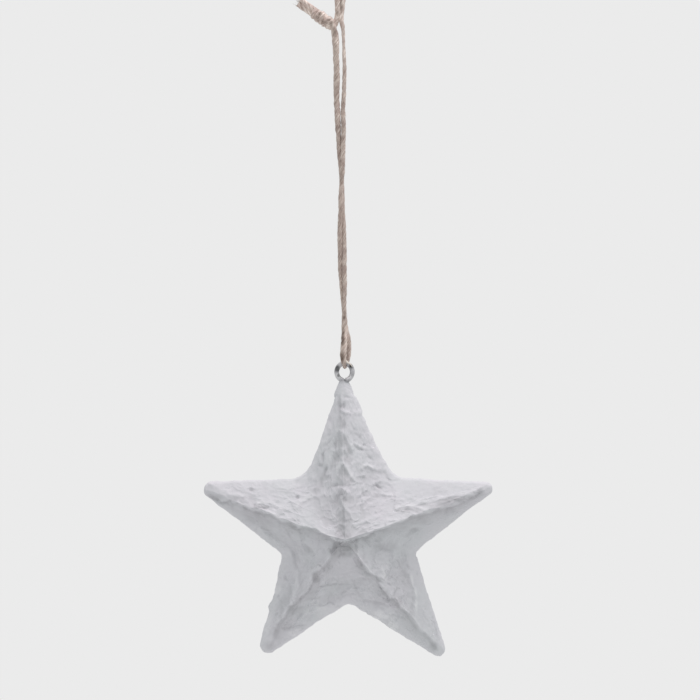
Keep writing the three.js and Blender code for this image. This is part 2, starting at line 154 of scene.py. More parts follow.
# Background, floor and light
BACKGROUND_GREY = 0.831  # shows as 235 of 255
FLOOR_DEPTH = 460 * MM
FLOOR_HALF = 1.6
SKY_STRENGTH = 0.645


# Helpers for arrays


UNSHADED = 0.2


def smooth(value):
    """A smooth step: 0 below 0, 1 above 1, and 3v^2 - 2v^3 between."""
    held = np.clip(value, 0.0, 1.0)
    return held * held * (3.0 - 2.0 * held)


def unit(vectors):
    """Each vector divided by its length."""
    return vectors / np.maximum(np.linalg.norm(vectors, axis=-1, keepdims=True), 1e-12)


LATTICE_SIZE = 32
LATTICE = np.random.default_rng(11).uniform(-1.0, 1.0, (LATTICE_SIZE,) * 3)


def value_noise(points, size, shift=0.0):
    """Random values on a cubic lattice of cells `size` wide, mixed by smooth steps from a cell's eight corners."""
    spots = points.reshape(-1, 3) / size + shift
    cells = np.floor(spots).astype(int)
    parts = spots - cells
    parts = parts * parts * (3.0 - 2.0 * parts)
    total = np.zeros(len(spots))
    for corner in np.ndindex(2, 2, 2):
        index = (cells + corner) % LATTICE_SIZE
        weight = np.prod(np.where(np.array(corner) == 1, parts, 1.0 - parts), axis=1)
        total += weight * LATTICE[index[:, 0], index[:, 1], index[:, 2]]
    return total.reshape(points.shape[:-1])


def rough_noise(points, size, octaves, shift=0.0):
    """Octaves of value noise, each half as wide and half as strong as the one before."""
    total = 0.0
    for octave in range(octaves):
        total = total + value_noise(points, size / 2**octave, shift + 7.3 * octave) / 2**octave
    return total


def signed_volume(points, faces):
    """Sum over the triangles of corner . (corner x corner) / 6, positive where faces point outwards."""
    first = points[faces[:, 0]]
    total = 0.0
    for k in range(1, faces.shape[1] - 1):
        total += np.einsum("ij,ij->i", first, np.cross(points[faces[:, k]], points[faces[:, k + 1]])).sum() / 6
    return total


def make_piece(name, points, face_groups, material, uv=None):
    """A mesh object from vertices and groups of same-sided faces, turned so that the faces point outwards."""
    volume = sum(signed_volume(points, faces) for faces in face_groups)
    if volume < 0:
        face_groups = [faces[:, ::-1] for faces in face_groups]
    corners = np.concatenate([faces.ravel() for faces in face_groups]).astype(np.int32)
    totals = np.concatenate([np.full(len(faces), faces.shape[1]) for faces in face_groups])
    starts = np.concatenate([[0], np.cumsum(totals)[:-1]]).astype(np.int32)
    mesh = bpy.data.meshes.new(name)
    mesh.vertices.add(len(points))
    mesh.vertices.foreach_set("co", points.astype(np.float32).ravel())
    mesh.loops.add(len(corners))
    mesh.loops.foreach_set("vertex_index", corners)
    mesh.polygons.add(len(starts))
    mesh.polygons.foreach_set("loop_start", starts)
    mesh.polygons.foreach_set("use_smooth", np.ones(len(starts), dtype=bool))
    if uv is not None:
        layer = mesh.uv_layers.new(name="Lay")
        layer.data.foreach_set("uv", uv[corners].astype(np.float32).ravel())
    mesh.update(calc_edges=True)
    mesh.validate()
    mesh.materials.append(material)
    piece = bpy.data.objects.new(name, mesh)
    bpy.context.collection.objects.link(piece)
    return piece


def set_shade(piece, shade):
    """Writes how dark each ring point is painted to the attribute "shade", 0.2 where it is left as it is."""
    values = np.full(len(piece.data.vertices), UNSHADED, dtype=np.float32)
    values[: shade.size] = np.clip(shade.ravel() + UNSHADED, 0.0, 1.0)
    attribute = piece.data.attributes.new("shade", "FLOAT", "POINT")
    attribute.data.foreach_set("value", values)


def ring_quads(rings, around, first=0):
    """Quads between neighbouring closed rings of `around` points each."""
    ring = np.arange(rings - 1)[:, None] * around
    here = np.arange(around)[None, :]
    after = (here + 1) % around
    quads = np.stack([ring + here, ring + after, ring + around + after, ring + around + here], axis=-1)
    return quads.reshape(-1, 4) + first


def end_fans(rings, around, low_pole, high_pole):
    """Triangles that close the first and last rings onto one point each."""
    here = np.arange(around)
    after = (here + 1) % around
    last = (rings - 1) * around
    low = np.stack([np.full(around, low_pole), after, here], axis=-1)
    high = np.stack([np.full(around, high_pole), last + here, last + after], axis=-1)
    return np.concatenate([low, high])


def closed_rings(name, rings, material, low_pole, high_pole, uv=None):
    """A closed piece from a stack of rings, with one point at each end."""
    count, around, _ = rings.shape
    points = np.concatenate([rings.reshape(-1, 3), [low_pole, high_pole]])
    fans = end_fans(count, around, len(points) - 2, len(points) - 1)
    return make_piece(name, points, [ring_quads(count, around), fans], material, uv)


# Materials


def new_material(name):
    """An empty node material with its shader; returns the material, its nodes, its links and the shader."""
    material = bpy.data.materials.new(name)
    material.use_nodes = True
    nodes = material.node_tree.nodes
    links = material.node_tree.links
    return material, nodes, links, nodes["Principled BSDF"]


def add_noise(nodes, links, vector, scale, detail, roughness=0.55):
    """A noise texture on a vector socket."""
    noise = nodes.new("ShaderNodeTexNoise")
    noise.inputs["Scale"].default_value = scale
    noise.inputs["Detail"].default_value = detail
    noise.inputs["Roughness"].default_value = roughness
    links.new(vector, noise.inputs["Vector"])
    return noise.outputs["Fac"]


def add_ramp(nodes, links, value, stops):
    """A colour ramp with (position, colour) stops."""
    ramp = nodes.new("ShaderNodeValToRGB")
    elements = ramp.color_ramp.elements
    elements[0].position, elements[0].color = stops[0][0], (*stops[0][1], 1)
    elements[1].position, elements[1].color = stops[-1][0], (*stops[-1][1], 1)
    for position, colour in stops[1:-1]:
        element = elements.new(position)
        element.color = (*colour, 1)
    links.new(value, ramp.inputs["Fac"])
    return ramp.outputs["Color"]


def add_bump(nodes, links, height, distance, strength, normal=None):
    """A bump node on a height value, stacked on another normal where one is given."""
    bump = nodes.new("ShaderNodeBump")
    bump.inputs["Distance"].default_value = distance
    bump.inputs["Strength"].default_value = strength
    links.new(height, bump.inputs["Height"])
    if normal is not None:
        links.new(normal, bump.inputs["Normal"])
    return bump.outputs["Normal"]


def mix_colours(nodes, links, share, first, second, blend="MIX"):
    """Two colour sockets mixed by a value socket or a number."""
    mix = nodes.new("ShaderNodeMix")
    mix.data_type = "RGBA"
    mix.blend_type = blend
    if isinstance(share, float):
        mix.inputs["Factor"].default_value = share
    else:
        links.new(share, mix.inputs["Factor"])
    links.new(first, mix.inputs["A"])
    links.new(second, mix.inputs["B"])
    return mix.outputs["Result"]


def add_shade(nodes, links, colour, light, dark):
    """A colour multiplied by the "shade" attribute's ramp: light at 0, unchanged where unshaded, dark at 1."""
    shade = nodes.new("ShaderNodeAttribute")
    shade.attribute_name = "shade"
    ramp = add_ramp(nodes, links, shade.outputs["Fac"], [(0.0, light), (UNSHADED, (1.0, 1.0, 1.0)), (1.0, dark)])
    return mix_colours(nodes, links, 1.0, colour, ramp, "MULTIPLY")


def object_place(nodes):
    """The Object coordinates socket."""
    return nodes.new("ShaderNodeTexCoord").outputs["Object"]


def painted_paper():
    """Matt white paint over pasted paper: lilac and cool grey patches, painted shade in hollows and painted light from
    the "shade" attribute, fine pulp grain.
    """
    material, nodes, links, shader = new_material("painted paper")
    place = object_place(nodes)
    patches = add_noise(nodes, links, place, 70, 3)
    tint = add_ramp(nodes, links, patches, [(0.35, (0.684, 0.689, 0.712)), (0.65, (0.710, 0.697, 0.732))])
    painted = add_shade(nodes, links, tint, (1.18, 1.18, 1.16), (0.36, 0.35, 0.35))
    links.new(painted, shader.inputs["Base Color"])
    shader.inputs["Roughness"].default_value = 0.85
    shader.inputs["Specular IOR Level"].default_value = 0.25
    grain = add_noise(nodes, links, place, 1400, 5, 0.65)
    pulp = add_noise(nodes, links, place, 420, 4, 0.6)
    first = add_bump(nodes, links, pulp, 0.00022, 0.8)
    links.new(add_bump(nodes, links, grain, 0.00008, 0.7, first), shader.inputs["Normal"])
    return material


def jute_fibre():
    """Jute: streaks along the lay that follow the strand's own map, pale straw to brown, fibre bump; stains, painted
    shade and painted light from "shade".
    """
    material, nodes, links, shader = new_material("jute fibre")
    uv = nodes.new("ShaderNodeUVMap")
    uv.uv_map = "Lay"
    lay = nodes.new("ShaderNodeMapping")
    lay.inputs["Scale"].default_value = (9.0, 1.0, 1.0)
    links.new(uv.outputs["UV"], lay.inputs["Vector"])
    fibres = add_noise(nodes, links, lay.outputs["Vector"], 1.6, 6, 0.7)
    place = object_place(nodes)
    patches = add_noise(nodes, links, place, 260, 4, 0.6)
    streaks = add_ramp(nodes, links, fibres, [
        (0.32, (0.300, 0.225, 0.190)), (0.50, (0.590, 0.500, 0.450)), (0.68, (0.860, 0.790, 0.730)),
    ])
    cast = add_ramp(nodes, links, patches, [(0.38, (0.76, 0.68, 0.66)), (0.62, (1.10, 1.06, 1.03))])
    jute = mix_colours(nodes, links, 1.0, streaks, cast, "MULTIPLY")
    links.new(add_shade(nodes, links, jute, (1.50, 1.56, 1.60), (0.22, 0.17, 0.14)), shader.inputs["Base Color"])
    shader.inputs["Roughness"].default_value = 0.8
    shader.inputs["Sheen Weight"].default_value = 0.25
    shader.inputs["Sheen Roughness"].default_value = 0.5
    links.new(add_bump(nodes, links, fibres, 0.0003, 1.0), shader.inputs["Normal"])
    return material


def loose_fibre():
    """Single hairs of jute, paler than the strand."""
    material, nodes, links, shader = new_material("loose fibre")
    shades = add_noise(nodes, links, object_place(nodes), 300, 2)
    hair = add_ramp(nodes, links, shades, [(0.3, (0.46, 0.38, 0.32)), (0.7, (0.70, 0.65, 0.59))])
    # The hairs take painted light and shade from the "shade" attribute; the wisp is painted at its lightest.
    links.new(add_shade(nodes, links, hair, (1.4, 1.4, 1.4), (0.3, 0.3, 0.3)), shader.inputs["Base Color"])
    shader.inputs["Roughness"].default_value = 0.7
    return material


def galvanised_wire():
    """Dull grey zinc-coated wire with darker worn spots and fine drawing marks, and painted shade from the "shade"
    attribute.
    """
    material, nodes, links, shader = new_material("galvanised wire")
    place = object_place(nodes)
    spots = add_noise(nodes, links, place, 330, 4, 0.6)
    zinc = add_ramp(nodes, links, spots, [(0.38, (0.43, 0.43, 0.45)), (0.62, (0.64, 0.64, 0.65))])
    links.new(add_shade(nodes, links, zinc, (1.1, 1.1, 1.1), (0.10, 0.10, 0.10)), shader.inputs["Base Color"])
    wear = add_noise(nodes, links, place, 900, 4)
    rough = nodes.new("ShaderNodeMapRange")
    rough.inputs["To Min"].default_value = 0.28
    rough.inputs["To Max"].default_value = 0.6
    links.new(wear, rough.inputs["Value"])
    links.new(rough.outputs["Result"], shader.inputs["Roughness"])
    shader.inputs["Metallic"].default_value = 0.7
    links.new(add_bump(nodes, links, wear, 0.00005, 0.6), shader.inputs["Normal"])
    return material


def raw_card():
    """Grey-brown pressed card with flecks of pulp."""
    material, nodes, links, shader = new_material("raw card")
    place = object_place(nodes)
    flecks = add_noise(nodes, links, place, 900, 5, 0.7)
    colour = add_ramp(nodes, links, flecks, [(0.35, (0.26, 0.22, 0.16)), (0.65, (0.42, 0.37, 0.28))])
    links.new(colour, shader.inputs["Base Color"])
    shader.inputs["Roughness"].default_value = 0.95
    links.new(add_bump(nodes, links, flecks, 0.0001, 0.7), shader.inputs["Normal"])
    return material


def gummed_tape():
    """Brown gummed paper tape with faint crepe lines."""
    material, nodes, links, shader = new_material("gummed tape")
    crepe = nodes.new("ShaderNodeTexWave")
    crepe.inputs["Scale"].default_value = 500
    crepe.inputs["Distortion"].default_value = 3.0
    links.new(object_place(nodes), crepe.inputs["Vector"])
    colour = add_ramp(nodes, links, crepe.outputs["Fac"], [(0.2, (0.50, 0.38, 0.22)), (0.8, (0.60, 0.47, 0.29))])
    links.new(colour, shader.inputs["Base Color"])
    shader.inputs["Roughness"].default_value = 0.8
    links.new(add_bump(nodes, links, crepe.outputs["Fac"], 0.00006, 0.5), shader.inputs["Normal"])
    return material


def pale_wood():
    """Pale softwood with grain along the plug's length."""
    material, nodes, links, shader = new_material("pale wood")
    grain_way = nodes.new("ShaderNodeMapping")
    grain_way.inputs["Scale"].default_value = (900, 900, 60)
    links.new(object_place(nodes), grain_way.inputs["Vector"])
    grain = add_noise(nodes, links, grain_way.outputs["Vector"], 1.0, 4)
    colour = add_ramp(nodes, links, grain, [(0.35, (0.42, 0.28, 0.14)), (0.65, (0.62, 0.46, 0.27))])
    links.new(colour, shader.inputs["Base Color"])
    shader.inputs["Roughness"].default_value = 0.75
    links.new(add_bump(nodes, links, grain, 0.0001, 0.5), shader.inputs["Normal"])
    return material


PAPER = painted_paper()
JUTE = jute_fibre()
HAIR = loose_fibre()
METAL = galvanised_wire()


# Camera


def set_camera():
    """The photo's level view from straight in front."""
    data = bpy.data.cameras.new("photo view")
    data.sensor_width = 36.0
    data.lens = 18.0 / math.tan(HALF_FIELD)
    camera = bpy.data.objects.new("photo view", data)
    bpy.context.collection.objects.link(camera)
    camera.location = (VIEW_X, -VIEW_DISTANCE, VIEW_Z)
    camera.rotation_euler = (math.radians(90), 0.0, 0.0)
    bpy.context.scene.camera = camera


# Twine


def knot_points(stations):
    """Points from (along, turn, off) stations: knot centre + along x axis + off x (cos turn up, sin turn front)."""
    along, turn, off = np.array(stations, float).T
    turn = np.radians(turn)
    axis = np.array([-math.cos(KNOT_TILT), 0.0, math.sin(KNOT_TILT)])
    up = np.array([math.sin(KNOT_TILT), 0.0, math.cos(KNOT_TILT)])
    front = np.array([0.0, -1.0, 0.0])
    round_axis = off[:, None] * (np.cos(turn)[:, None] * up + np.sin(turn)[:, None] * front)
    return np.array(KNOT_CENTRE) + along[:, None] * axis + round_axis


def catmull_rom(points, per_span):
    """A smooth curve through the points: each span is the cubic with centred-difference slopes at its ends."""
    padded = np.concatenate([[2 * points[0] - points[1]], points, [2 * points[-1] - points[-2]]])
    p0, p1, p2, p3 = (padded[k : len(padded) - 3 + k, None] for k in range(4))
    t = np.linspace(0.0, 1.0, per_span, endpoint=False)[None, :, None]
    curve = 0.5 * (
        2 * p1 + (p2 - p0) * t + (2 * p0 - 5 * p1 + 4 * p2 - p3) * t**2 + (3 * p1 - p0 - 3 * p2 + p3) * t**3
    )
    return np.concatenate([curve.reshape(-1, points.shape[1]), points[-1:]])


def run_length(points):
    """Distance along a line of points, from its first."""
    steps = np.linalg.norm(np.diff(points, axis=0), axis=1)
    return np.concatenate([[0.0], np.cumsum(steps)])


def evenly(points, step):
    """The same line with points at even distances, and those distances."""
    length = run_length(points)
    count = int(round(length[-1] / step)) + 1
    at = np.linspace(0.0, length[-1], count)
    return np.stack([np.interp(at, length, points[:, k]) for k in range(points.shape[1])], axis=1), at


def twisted_frames(line):
    """Two directions across the line at each point, carried along it with as little turning as possible."""
    tangents = unit(np.gradient(line, axis=0))
    across = np.zeros_like(line)
    across[0] = unit(np.cross(tangents[0], [0.0, 1.0, 0.0]))
    for k in range(1, len(line)):
        carried = across[k - 1] - tangents[k] * np.dot(across[k - 1], tangents[k])
        across[k] = carried / np.linalg.norm(carried)
    return tangents, across, np.cross(tangents, across)


# Twine thickness (radius, millimetres) by stretch: each pair is height and radius
RIGHT_LEG_RADII = [(-128, 0.66), (-105, 0.72), (-94, 0.78), (-81, 0.76), (-60, 0.80), (-49, 0.74), (-38, 0.66),
                   (-32, 0.52), (-27, 0.54), (-23, 0.80), (-20, 0.92)]
LEFT_LEG_RADII = [(-128, 0.70), (-115, 0.80), (-100, 0.82), (-81, 0.78), (-66, 0.86), (-50, 1.0), (-36, 1.06), (-33, 1.14),
                  (-25, 1.0)]
EYE_BIGHT_RADII = [(-142.6, 0.44), (-142.1, 0.60), (-141.5, 0.76), (-139.5, 1.0), (-136, 1.06), (-131, 0.94),
                   (-127, 0.78), (-122, 0.72)]
# From the cut ends: each pair is the route point counted from the upper end, or back from the lower one
UPPER_END_RADII = [(0, 1.0), (2, 1.05), (6, 0.95), (19, 0.95), (22, 1.0), (26, 1.05), (30, 0.8), (33, 0.8),
                   (35, 0.92), (37, 0.92)]
LOWER_END_RADII = [(0, 1.0), (3, 1.05), (6, 0.95), (18, 0.95), (21, 0.95)]


def pulled_together(line):
    """Draws the two legs closer where they run together: the distance to their shared middle is scaled."""
    left = np.array(LEFT_LEG_ROUTE)
    right = np.array(RIGHT_LEG_ROUTE)
    heights = np.linspace(-118.0, -26.0, 80)
    middle = np.interp(heights, left[::-1, 2], left[::-1, 0]) + np.interp(heights, right[::-1, 2], right[::-1, 0])
    centre = np.interp(line[:, 2], heights, middle / 2)
    pull = 0.26 * smooth((-52.0 - line[:, 2]) / 12.0) * smooth((line[:, 2] + 134.0) / 6.0)
    moved = line.copy()
    moved[:, 0] -= (line[:, 0] - centre) * pull
    moved[:, 1] -= line[:, 1] * pull
    return moved


def twine_line():
    """The twine's middle line from its upper cut end to its lower one, in metres, and each point's own radius."""
    stretches = [
        np.array(UPPER_TAIL_ROUTE), knot_points(UPPER_STRAND_IN_KNOT), np.array(TOP_LOOP_ROUTE),
        np.array(RIGHT_LEG_ROUTE), np.array(EYE_BIGHT_ROUTE)[::-1], np.array(LEFT_LEG_ROUTE)[::-1],
        knot_points(LOWER_STRAND_IN_KNOT), np.array(LOWER_TAIL_ROUTE),
    ]
    joints = np.cumsum([len(s) for s in stretches])
    places = np.arange(joints[-1], dtype=float)
    control = np.concatenate([np.concatenate(stretches), places[:, None]], axis=1)
    line, _ = evenly(catmull_rom(control, 24), TWINE_STEP / MM)
    place = line[:, 3]
    line = pulled_together(line[:, :3])
    height = line[:, 2]
    right = np.interp(height, *np.array(RIGHT_LEG_RADII).T)
    left = np.interp(height, *np.array(LEFT_LEG_RADII).T)
    bight = np.interp(height, *np.array(EYE_BIGHT_RADII).T)
    radius = np.select(
        [place < joints[2] - 1, place < joints[3], place < joints[4], place < joints[5]],
        [np.interp(place, *np.array(UPPER_END_RADII).T), right, bight, left],
        np.interp(joints[7] - 1 - place, *np.array(LOWER_END_RADII).T),
    )
    return line * MM, np.convolve(np.pad(radius, 10, mode="edge"), np.ones(21) / 21, mode="valid") * MM


PLY_PITCH = 6.0 * MM
FIBRE_PITCH = 9.0 * MM


def strand_surface(line, radius, seed):
    """Rings round the line: radius x (two plies + fibre bundles + lumps), all winding along the strand."""
    length = run_length(line)
    _, across, over = twisted_frames(line)
    angle = np.linspace(0.0, 2 * math.pi, TWINE_SIDES, endpoint=False)
    turn = angle[None, :] - (2 * math.pi * length / PLY_PITCH)[:, None]
    fibre_turn = angle[None, :] - (2 * math.pi * length / FIBRE_PITCH)[:, None]
    plies = 0.05 * (np.abs(np.cos(turn)) * 2.0 - 1.27)
    spots = np.stack(
        [np.cos(fibre_turn) * 1.7, np.sin(fibre_turn) * 1.7, np.broadcast_to(length[:, None] / (3.2 * MM), turn.shape)],
        axis=-1,
    )
    bundles = 0.11 * rough_noise(spots, 0.8, 3, seed)
    along = np.stack([length / MM, np.zeros_like(length), np.zeros_like(length)], axis=1)
    lumps = 0.09 * rough_noise(along, 5.0, 2, seed + 3.1)
    reach = radius[:, None] * (1.0 + plies + bundles + lumps[:, None])
    rings = line[:, None] + reach[..., None] * (
        np.cos(angle)[None, :, None] * across[:, None] + np.sin(angle)[None, :, None] * over[:, None]
    )
    return rings, fibre_turn, length


# Darker and lighter places, partly stains and partly painted shade and painted light, in pixels of the photo: middle,
# shade (lighter where negative), half width, half height
TWINE_SHADES = [
    ((344.5, 315), 0.55, 1.8, 5.0), ((343.2, 331), 0.50, 1.6, 4.0), ((342.5, 341), 0.50, 1.8, 6.0),
    ((342.0, 357), 0.45, 2.2, 6.0), ((345.5, 364), 0.25, 2.0, 2.5), ((348.5, 349), 0.15, 1.6, 2.5),
    ((347.0, 336), -0.15, 2.0, 8.0), ((350.5, 352), -0.15, 2.0, 9.0), ((346.0, 349), -0.08, 1.4, 9.0),
    ((320.0, 13.5), 0.50, 2.2, 1.8), ((341.2, 5), 0.55, 1.2, 7.0), ((331.0, 23), 0.30, 2.2, 3.0),
    ((317.5, 17.5), 0.25, 2.5, 1.6), ((325.0, 22.5), 0.22, 3.0, 1.6), ((335.0, 33), 0.22, 2.6, 4.5),
    ((336.0, 51), 0.20, 2.0, 5.0), ((333.0, 52), -0.10, 1.2, 4.0), ((336.5, 78), 0.25, 2.0, 4.0),
    ((304.0, 7.5), 0.08, 4.0, 2.0), ((337.0, 13), 0.18, 1.6, 3.0), ((303.0, 4.5), -0.14, 11.0, 9.0),
    ((344.2, 72), -0.08, 2.4, 22.0), ((341.0, 192), -0.05, 6.0, 16.0),
    ((342.0, 130), 0.17, 3.0, 9.0), ((341.0, 176), 0.15, 3.0, 7.0), ((333.0, 28), 0.13, 3.0, 5.0),
    ((335.0, 48), 0.13, 3.0, 6.0), ((338.0, 112), -0.10, 2.6, 9.0), ((322.0, 14), -0.06, 9.0, 4.0), ((322.0, 20), 0.14, 2.0, 1.4),
    ((328.5, 20), 0.16, 1.6, 1.2), ((318.5, 21), 0.16, 1.4, 1.2),
]
# On the eye's ring, painted shade where the twine lies close and at the ring's lower crossing, with the same columns
METAL_SHADES = [
    ((337.0, 368.5), 0.60, 3.4, 3.6), ((351.2, 366.5), 0.60, 2.4, 2.4), ((338.6, 375.5), 0.40, 1.6, 1.8),
    ((348.5, 380.5), 0.12, 4.0, 2.2), ((352.5, 374), 0.14, 1.6, 3.0),
]


def placed_shade(points, marks):
    """The sum of the marks' shades at points of the part's frame, in millimetres, mottled by noise."""
    spots = photo_place(points)
    mottle = np.clip(1.0 + 0.8 * value_noise(points, 1.1, 5.0), 0.2, 1.6)
    return mottle * sum(shade * spot_shares(spots, place, wide, high) for place, shade, wide, high in marks)


def hanging_twine():
    """The whole length of twine: one strand, looped through the eye and tied in a knot."""
    line, radius = twine_line()
    rings, fibre_turn, length = strand_surface(line, radius, 2.0)
    uv = np.stack([fibre_turn / (2 * math.pi), np.broadcast_to(length[:, None] * 120.0, fibre_turn.shape)], axis=-1)
    uv = np.concatenate([uv.reshape(-1, 2), [[0.0, 0.0], [0.0, length[-1] * 120.0]]])
    piece = closed_rings("hanging_twine", rings, JUTE, line[0], line[-1], uv)
    height = rings[..., 2] / MM
    # The twine takes its listed stains and painted shade and light, and painted light lightens it upwards from 40 mm
    # below the loop's top.
    shade = placed_shade(rings / MM, TWINE_SHADES) - 0.14 * smooth((height + 40.0) / 14.0)
    set_shade(piece, shade)
    return piece, line, length


def seam_free_lay(piece):
    """Keeps the fibre map from folding back where the strand's first side meets its last."""
    layer = piece.data.uv_layers["Lay"]
    values = np.empty(len(layer.data) * 2, dtype=np.float32)
    layer.data.foreach_get("uv", values)
    values = values.reshape(-1, 2)
    quads = values[: (len(values) // 4) * 4].reshape(-1, 4, 2)
    low = quads[:, :, 0].min(axis=1, keepdims=True)
    quads[:, :, 0] += np.where(quads[:, :, 0] - low > 0.5, -1.0, 0.0)
    layer.data.foreach_set("uv", values.ravel())


FIBRE_COUNT = 420
FIBRE_RINGS = 7
FIBRE_SIDES = 3


def loose_fibres(line, length):
    """Short hairs that leave the strand: each lies along it and bends away by a sine, thinning to a point."""
    rng = np.random.default_rng(5)
    tangents, across, over = twisted_frames(line)
    start = rng.integers(5, len(line) - 5, FIBRE_COUNT)
    start[:26] = rng.integers(0, 6, 26)
    start[26:52] = len(line) - 1 - rng.integers(0, 6, 26)
    angle = rng.uniform(0.0, 2 * math.pi, FIBRE_COUNT)
    long = rng.uniform(0.8, 2.6, FIBRE_COUNT) * MM
    lift = rng.uniform(0.05, 0.5, FIBRE_COUNT) ** 1.5 * MM
    way = rng.choice([-1.0, 1.0], FIBRE_COUNT)
    way[:26] = -1.0
    way[26:52] = 1.0
    out = np.cos(angle)[:, None] * across[start] + np.sin(angle)[:, None] * over[start]
    aside = np.cross(tangents[start], out)
    sway = rng.uniform(-0.5, 0.5, FIBRE_COUNT)[:, None]
    t = np.linspace(0.0, 1.0, FIBRE_RINGS)[None, :, None]
    _, radius = twine_line()
    foot = line[start] + out * radius[start][:, None] * 0.8
    ahead = tangents[start] * way[:, None] + aside * sway
    middle = (
        foot[:, None]
        + ahead[:, None] * long[:, None, None] * t
        + out[:, None] * (lift[:, None, None] * np.sin(t * 2.6) * 1.3)
    )
    thick = (0.045 * MM) * (1.0 - 0.85 * t)
    side_angle = np.linspace(0.0, 2 * math.pi, FIBRE_SIDES, endpoint=False)
    round_fibre = (
        np.cos(side_angle)[None, None, :, None] * out[:, None, None]
        + np.sin(side_angle)[None, None, :, None] * aside[:, None, None]
    )
    points = middle[:, :, None] + thick[..., None] * round_fibre
    per_fibre = FIBRE_RINGS * FIBRE_SIDES
    first = np.arange(FIBRE_COUNT)[:, None, None] * per_fibre
    quads = (ring_quads(FIBRE_RINGS, FIBRE_SIDES)[None] + first).reshape(-1, 4)
    foot_cap = (np.arange(FIBRE_SIDES)[::-1][None] + first[:, 0]).reshape(-1, 3)
    tip_cap = (np.arange(FIBRE_SIDES)[None] + first[:, 0] + per_fibre - FIBRE_SIDES).reshape(-1, 3)
    piece = make_piece("twine_fibres", points.reshape(-1, 3), [quads, foot_cap, tip_cap], HAIR)
    set_shade(piece, np.zeros(len(piece.data.vertices)))
    return piece


WISP_ROUTE = [(-0.6, -2.7, -138.7), (0.1, -2.6, -139.8), (1.1, -1.9, -140.7), (2.1, -1.2, -141.4), (2.7, -0.9, -142.3)]


def pale_wisp():
    """A pale wisp that leaves the bight across the ring, painted at its lightest as a painted highlight: a tube whose
    radius is a half sine along it.
    """
    line, length = evenly(catmull_rom(np.array(WISP_ROUTE), 16), 0.12)
    radius = 0.06 + 0.24 * np.sin(math.pi * length / length[-1])
    rings, _, _ = strand_surface(line * MM, radius * MM, 6.0)
    piece = closed_rings("twine_wisp", rings, HAIR, line[0] * MM, line[-1] * MM)
    # Painted highlight: the whole wisp is set to the light end of the shade ramp.
    set_shade(piece, np.full(rings.shape[:2], -0.2))
    return piece


def lay_twine():
    """Makes the twine, its hairs and its wisp, which wind between the hanger and the eye, and hides the part's twine
    pieces.
    """
    twine, line, length = hanging_twine()
    seam_free_lay(twine)
    fibres = loose_fibres(line, length)
    wisp = pale_wisp()
    for piece in (twine, fibres):
        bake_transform(piece)
    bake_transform(wisp)
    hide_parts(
        "twine_top_loop", "twine_knot", "twine_tail_upper", "twine_tail_lower", "twine_left_leg",
        "twine_right_leg", "twine_eye_bight",
    )


# Star


def corner(radius, share, shift):
    """A corner at radius x (sin, cos) of its share of the turn, moved by its own shift."""
    angle = 2 * math.pi * share / STAR_POINTS
    return np.array([radius * math.sin(angle) + shift[0], radius * math.cos(angle) + shift[1]])


def star_corners():
    """Tips and notches by turns, clockwise from the top, with each one's rounding."""
    corners, rounds = [], []
    for k in range(STAR_POINTS):
        corners += [corner(TIP_RADIUS, k, TIP_SHIFTS[k]), corner(NOTCH_RADIUS, k + 0.5, NOTCH_SHIFTS[k])]
        rounds += [TIP_ROUNDS[k], NOTCH_ROUNDS[k]]
    return np.array(corners), rounds


def rounded_corner(before, here, after, rounding):
    """The arc that rounds a corner: it touches both sides, and is the first touching point turned about its centre."""
    incoming = unit(before - here)
    outgoing = unit(after - here)
    half = math.acos(float(np.clip(incoming @ outgoing, -1, 1))) / 2
    centre = here + unit(incoming + outgoing) * rounding / math.sin(half)
    start = here + incoming * rounding / math.tan(half) - centre
    end = here + outgoing * rounding / math.tan(half) - centre
    sweep = math.atan2(start[0] * end[1] - start[1] * end[0], float(start @ end))
    turn = np.linspace(0.0, sweep, 24)[:, None]
    sideways = np.array([-start[1], start[0]])
    return centre + start * np.cos(turn) + sideways * np.sin(turn)


def star_outline():
    """The rounded outline, evenly stepped, with its outward directions, fold (0 tip, 1 notch), facet and arm."""
    corners, rounds = star_corners()
    arcs = [
        rounded_corner(corners[k - 1], corners[k], corners[(k + 1) % len(corners)], rounds[k])
        for k in range(len(corners))
    ]
    loop = np.concatenate([*arcs, arcs[0][:1]])
    length = run_length(loop)
    at = np.linspace(0.0, length[-1], OUTLINE_POINTS, endpoint=False)
    outline = np.stack([np.interp(at, length, loop[:, k]) for k in range(2)], axis=1)
    along = np.roll(outline, -1, axis=0) - np.roll(outline, 1, axis=0)
    outward = unit(np.stack([-along[:, 1], along[:, 0]], axis=1))
    outward *= np.sign(np.einsum("ij,ij->i", outward, outline).mean())
    distance = np.full(OUTLINE_POINTS, np.inf)
    fold = np.zeros(OUTLINE_POINTS)
    facet = np.zeros(OUTLINE_POINTS, dtype=int)
    for k in range(len(corners)):
        ends = [corners[k], corners[(k + 1) % len(corners)]]
        tip, notch = ends if k % 2 == 0 else ends[::-1]
        side = notch - tip
        share = np.clip((outline - tip) @ side / (side @ side), 0.0, 1.0)
        gap = np.linalg.norm(outline - tip - share[:, None] * side, axis=1)
        nearer = gap < distance
        distance = np.where(nearer, gap, distance)
        fold = np.where(nearer, np.clip((share - 0.1) / 0.9, 0.0, 1.0), fold)
        facet = np.where(nearer, k, facet)
    return outline, outward, fold, facet, (facet + 1) // 2 % STAR_POINTS


OUTLINE, OUTWARD, FOLD, FACET, ARM = star_outline()
STAR_CENTRE = np.array([STAR_SIDE_SHIFT, -148.5 - OUTLINE[:, 1].max()])


def front_peak(side):
    """Where a half's peak stands beside the star's centre, in millimetres."""
    return np.array([FRONT_PEAK_SHIFT if side < 0 else BACK_PEAK_SHIFT, 0.0])


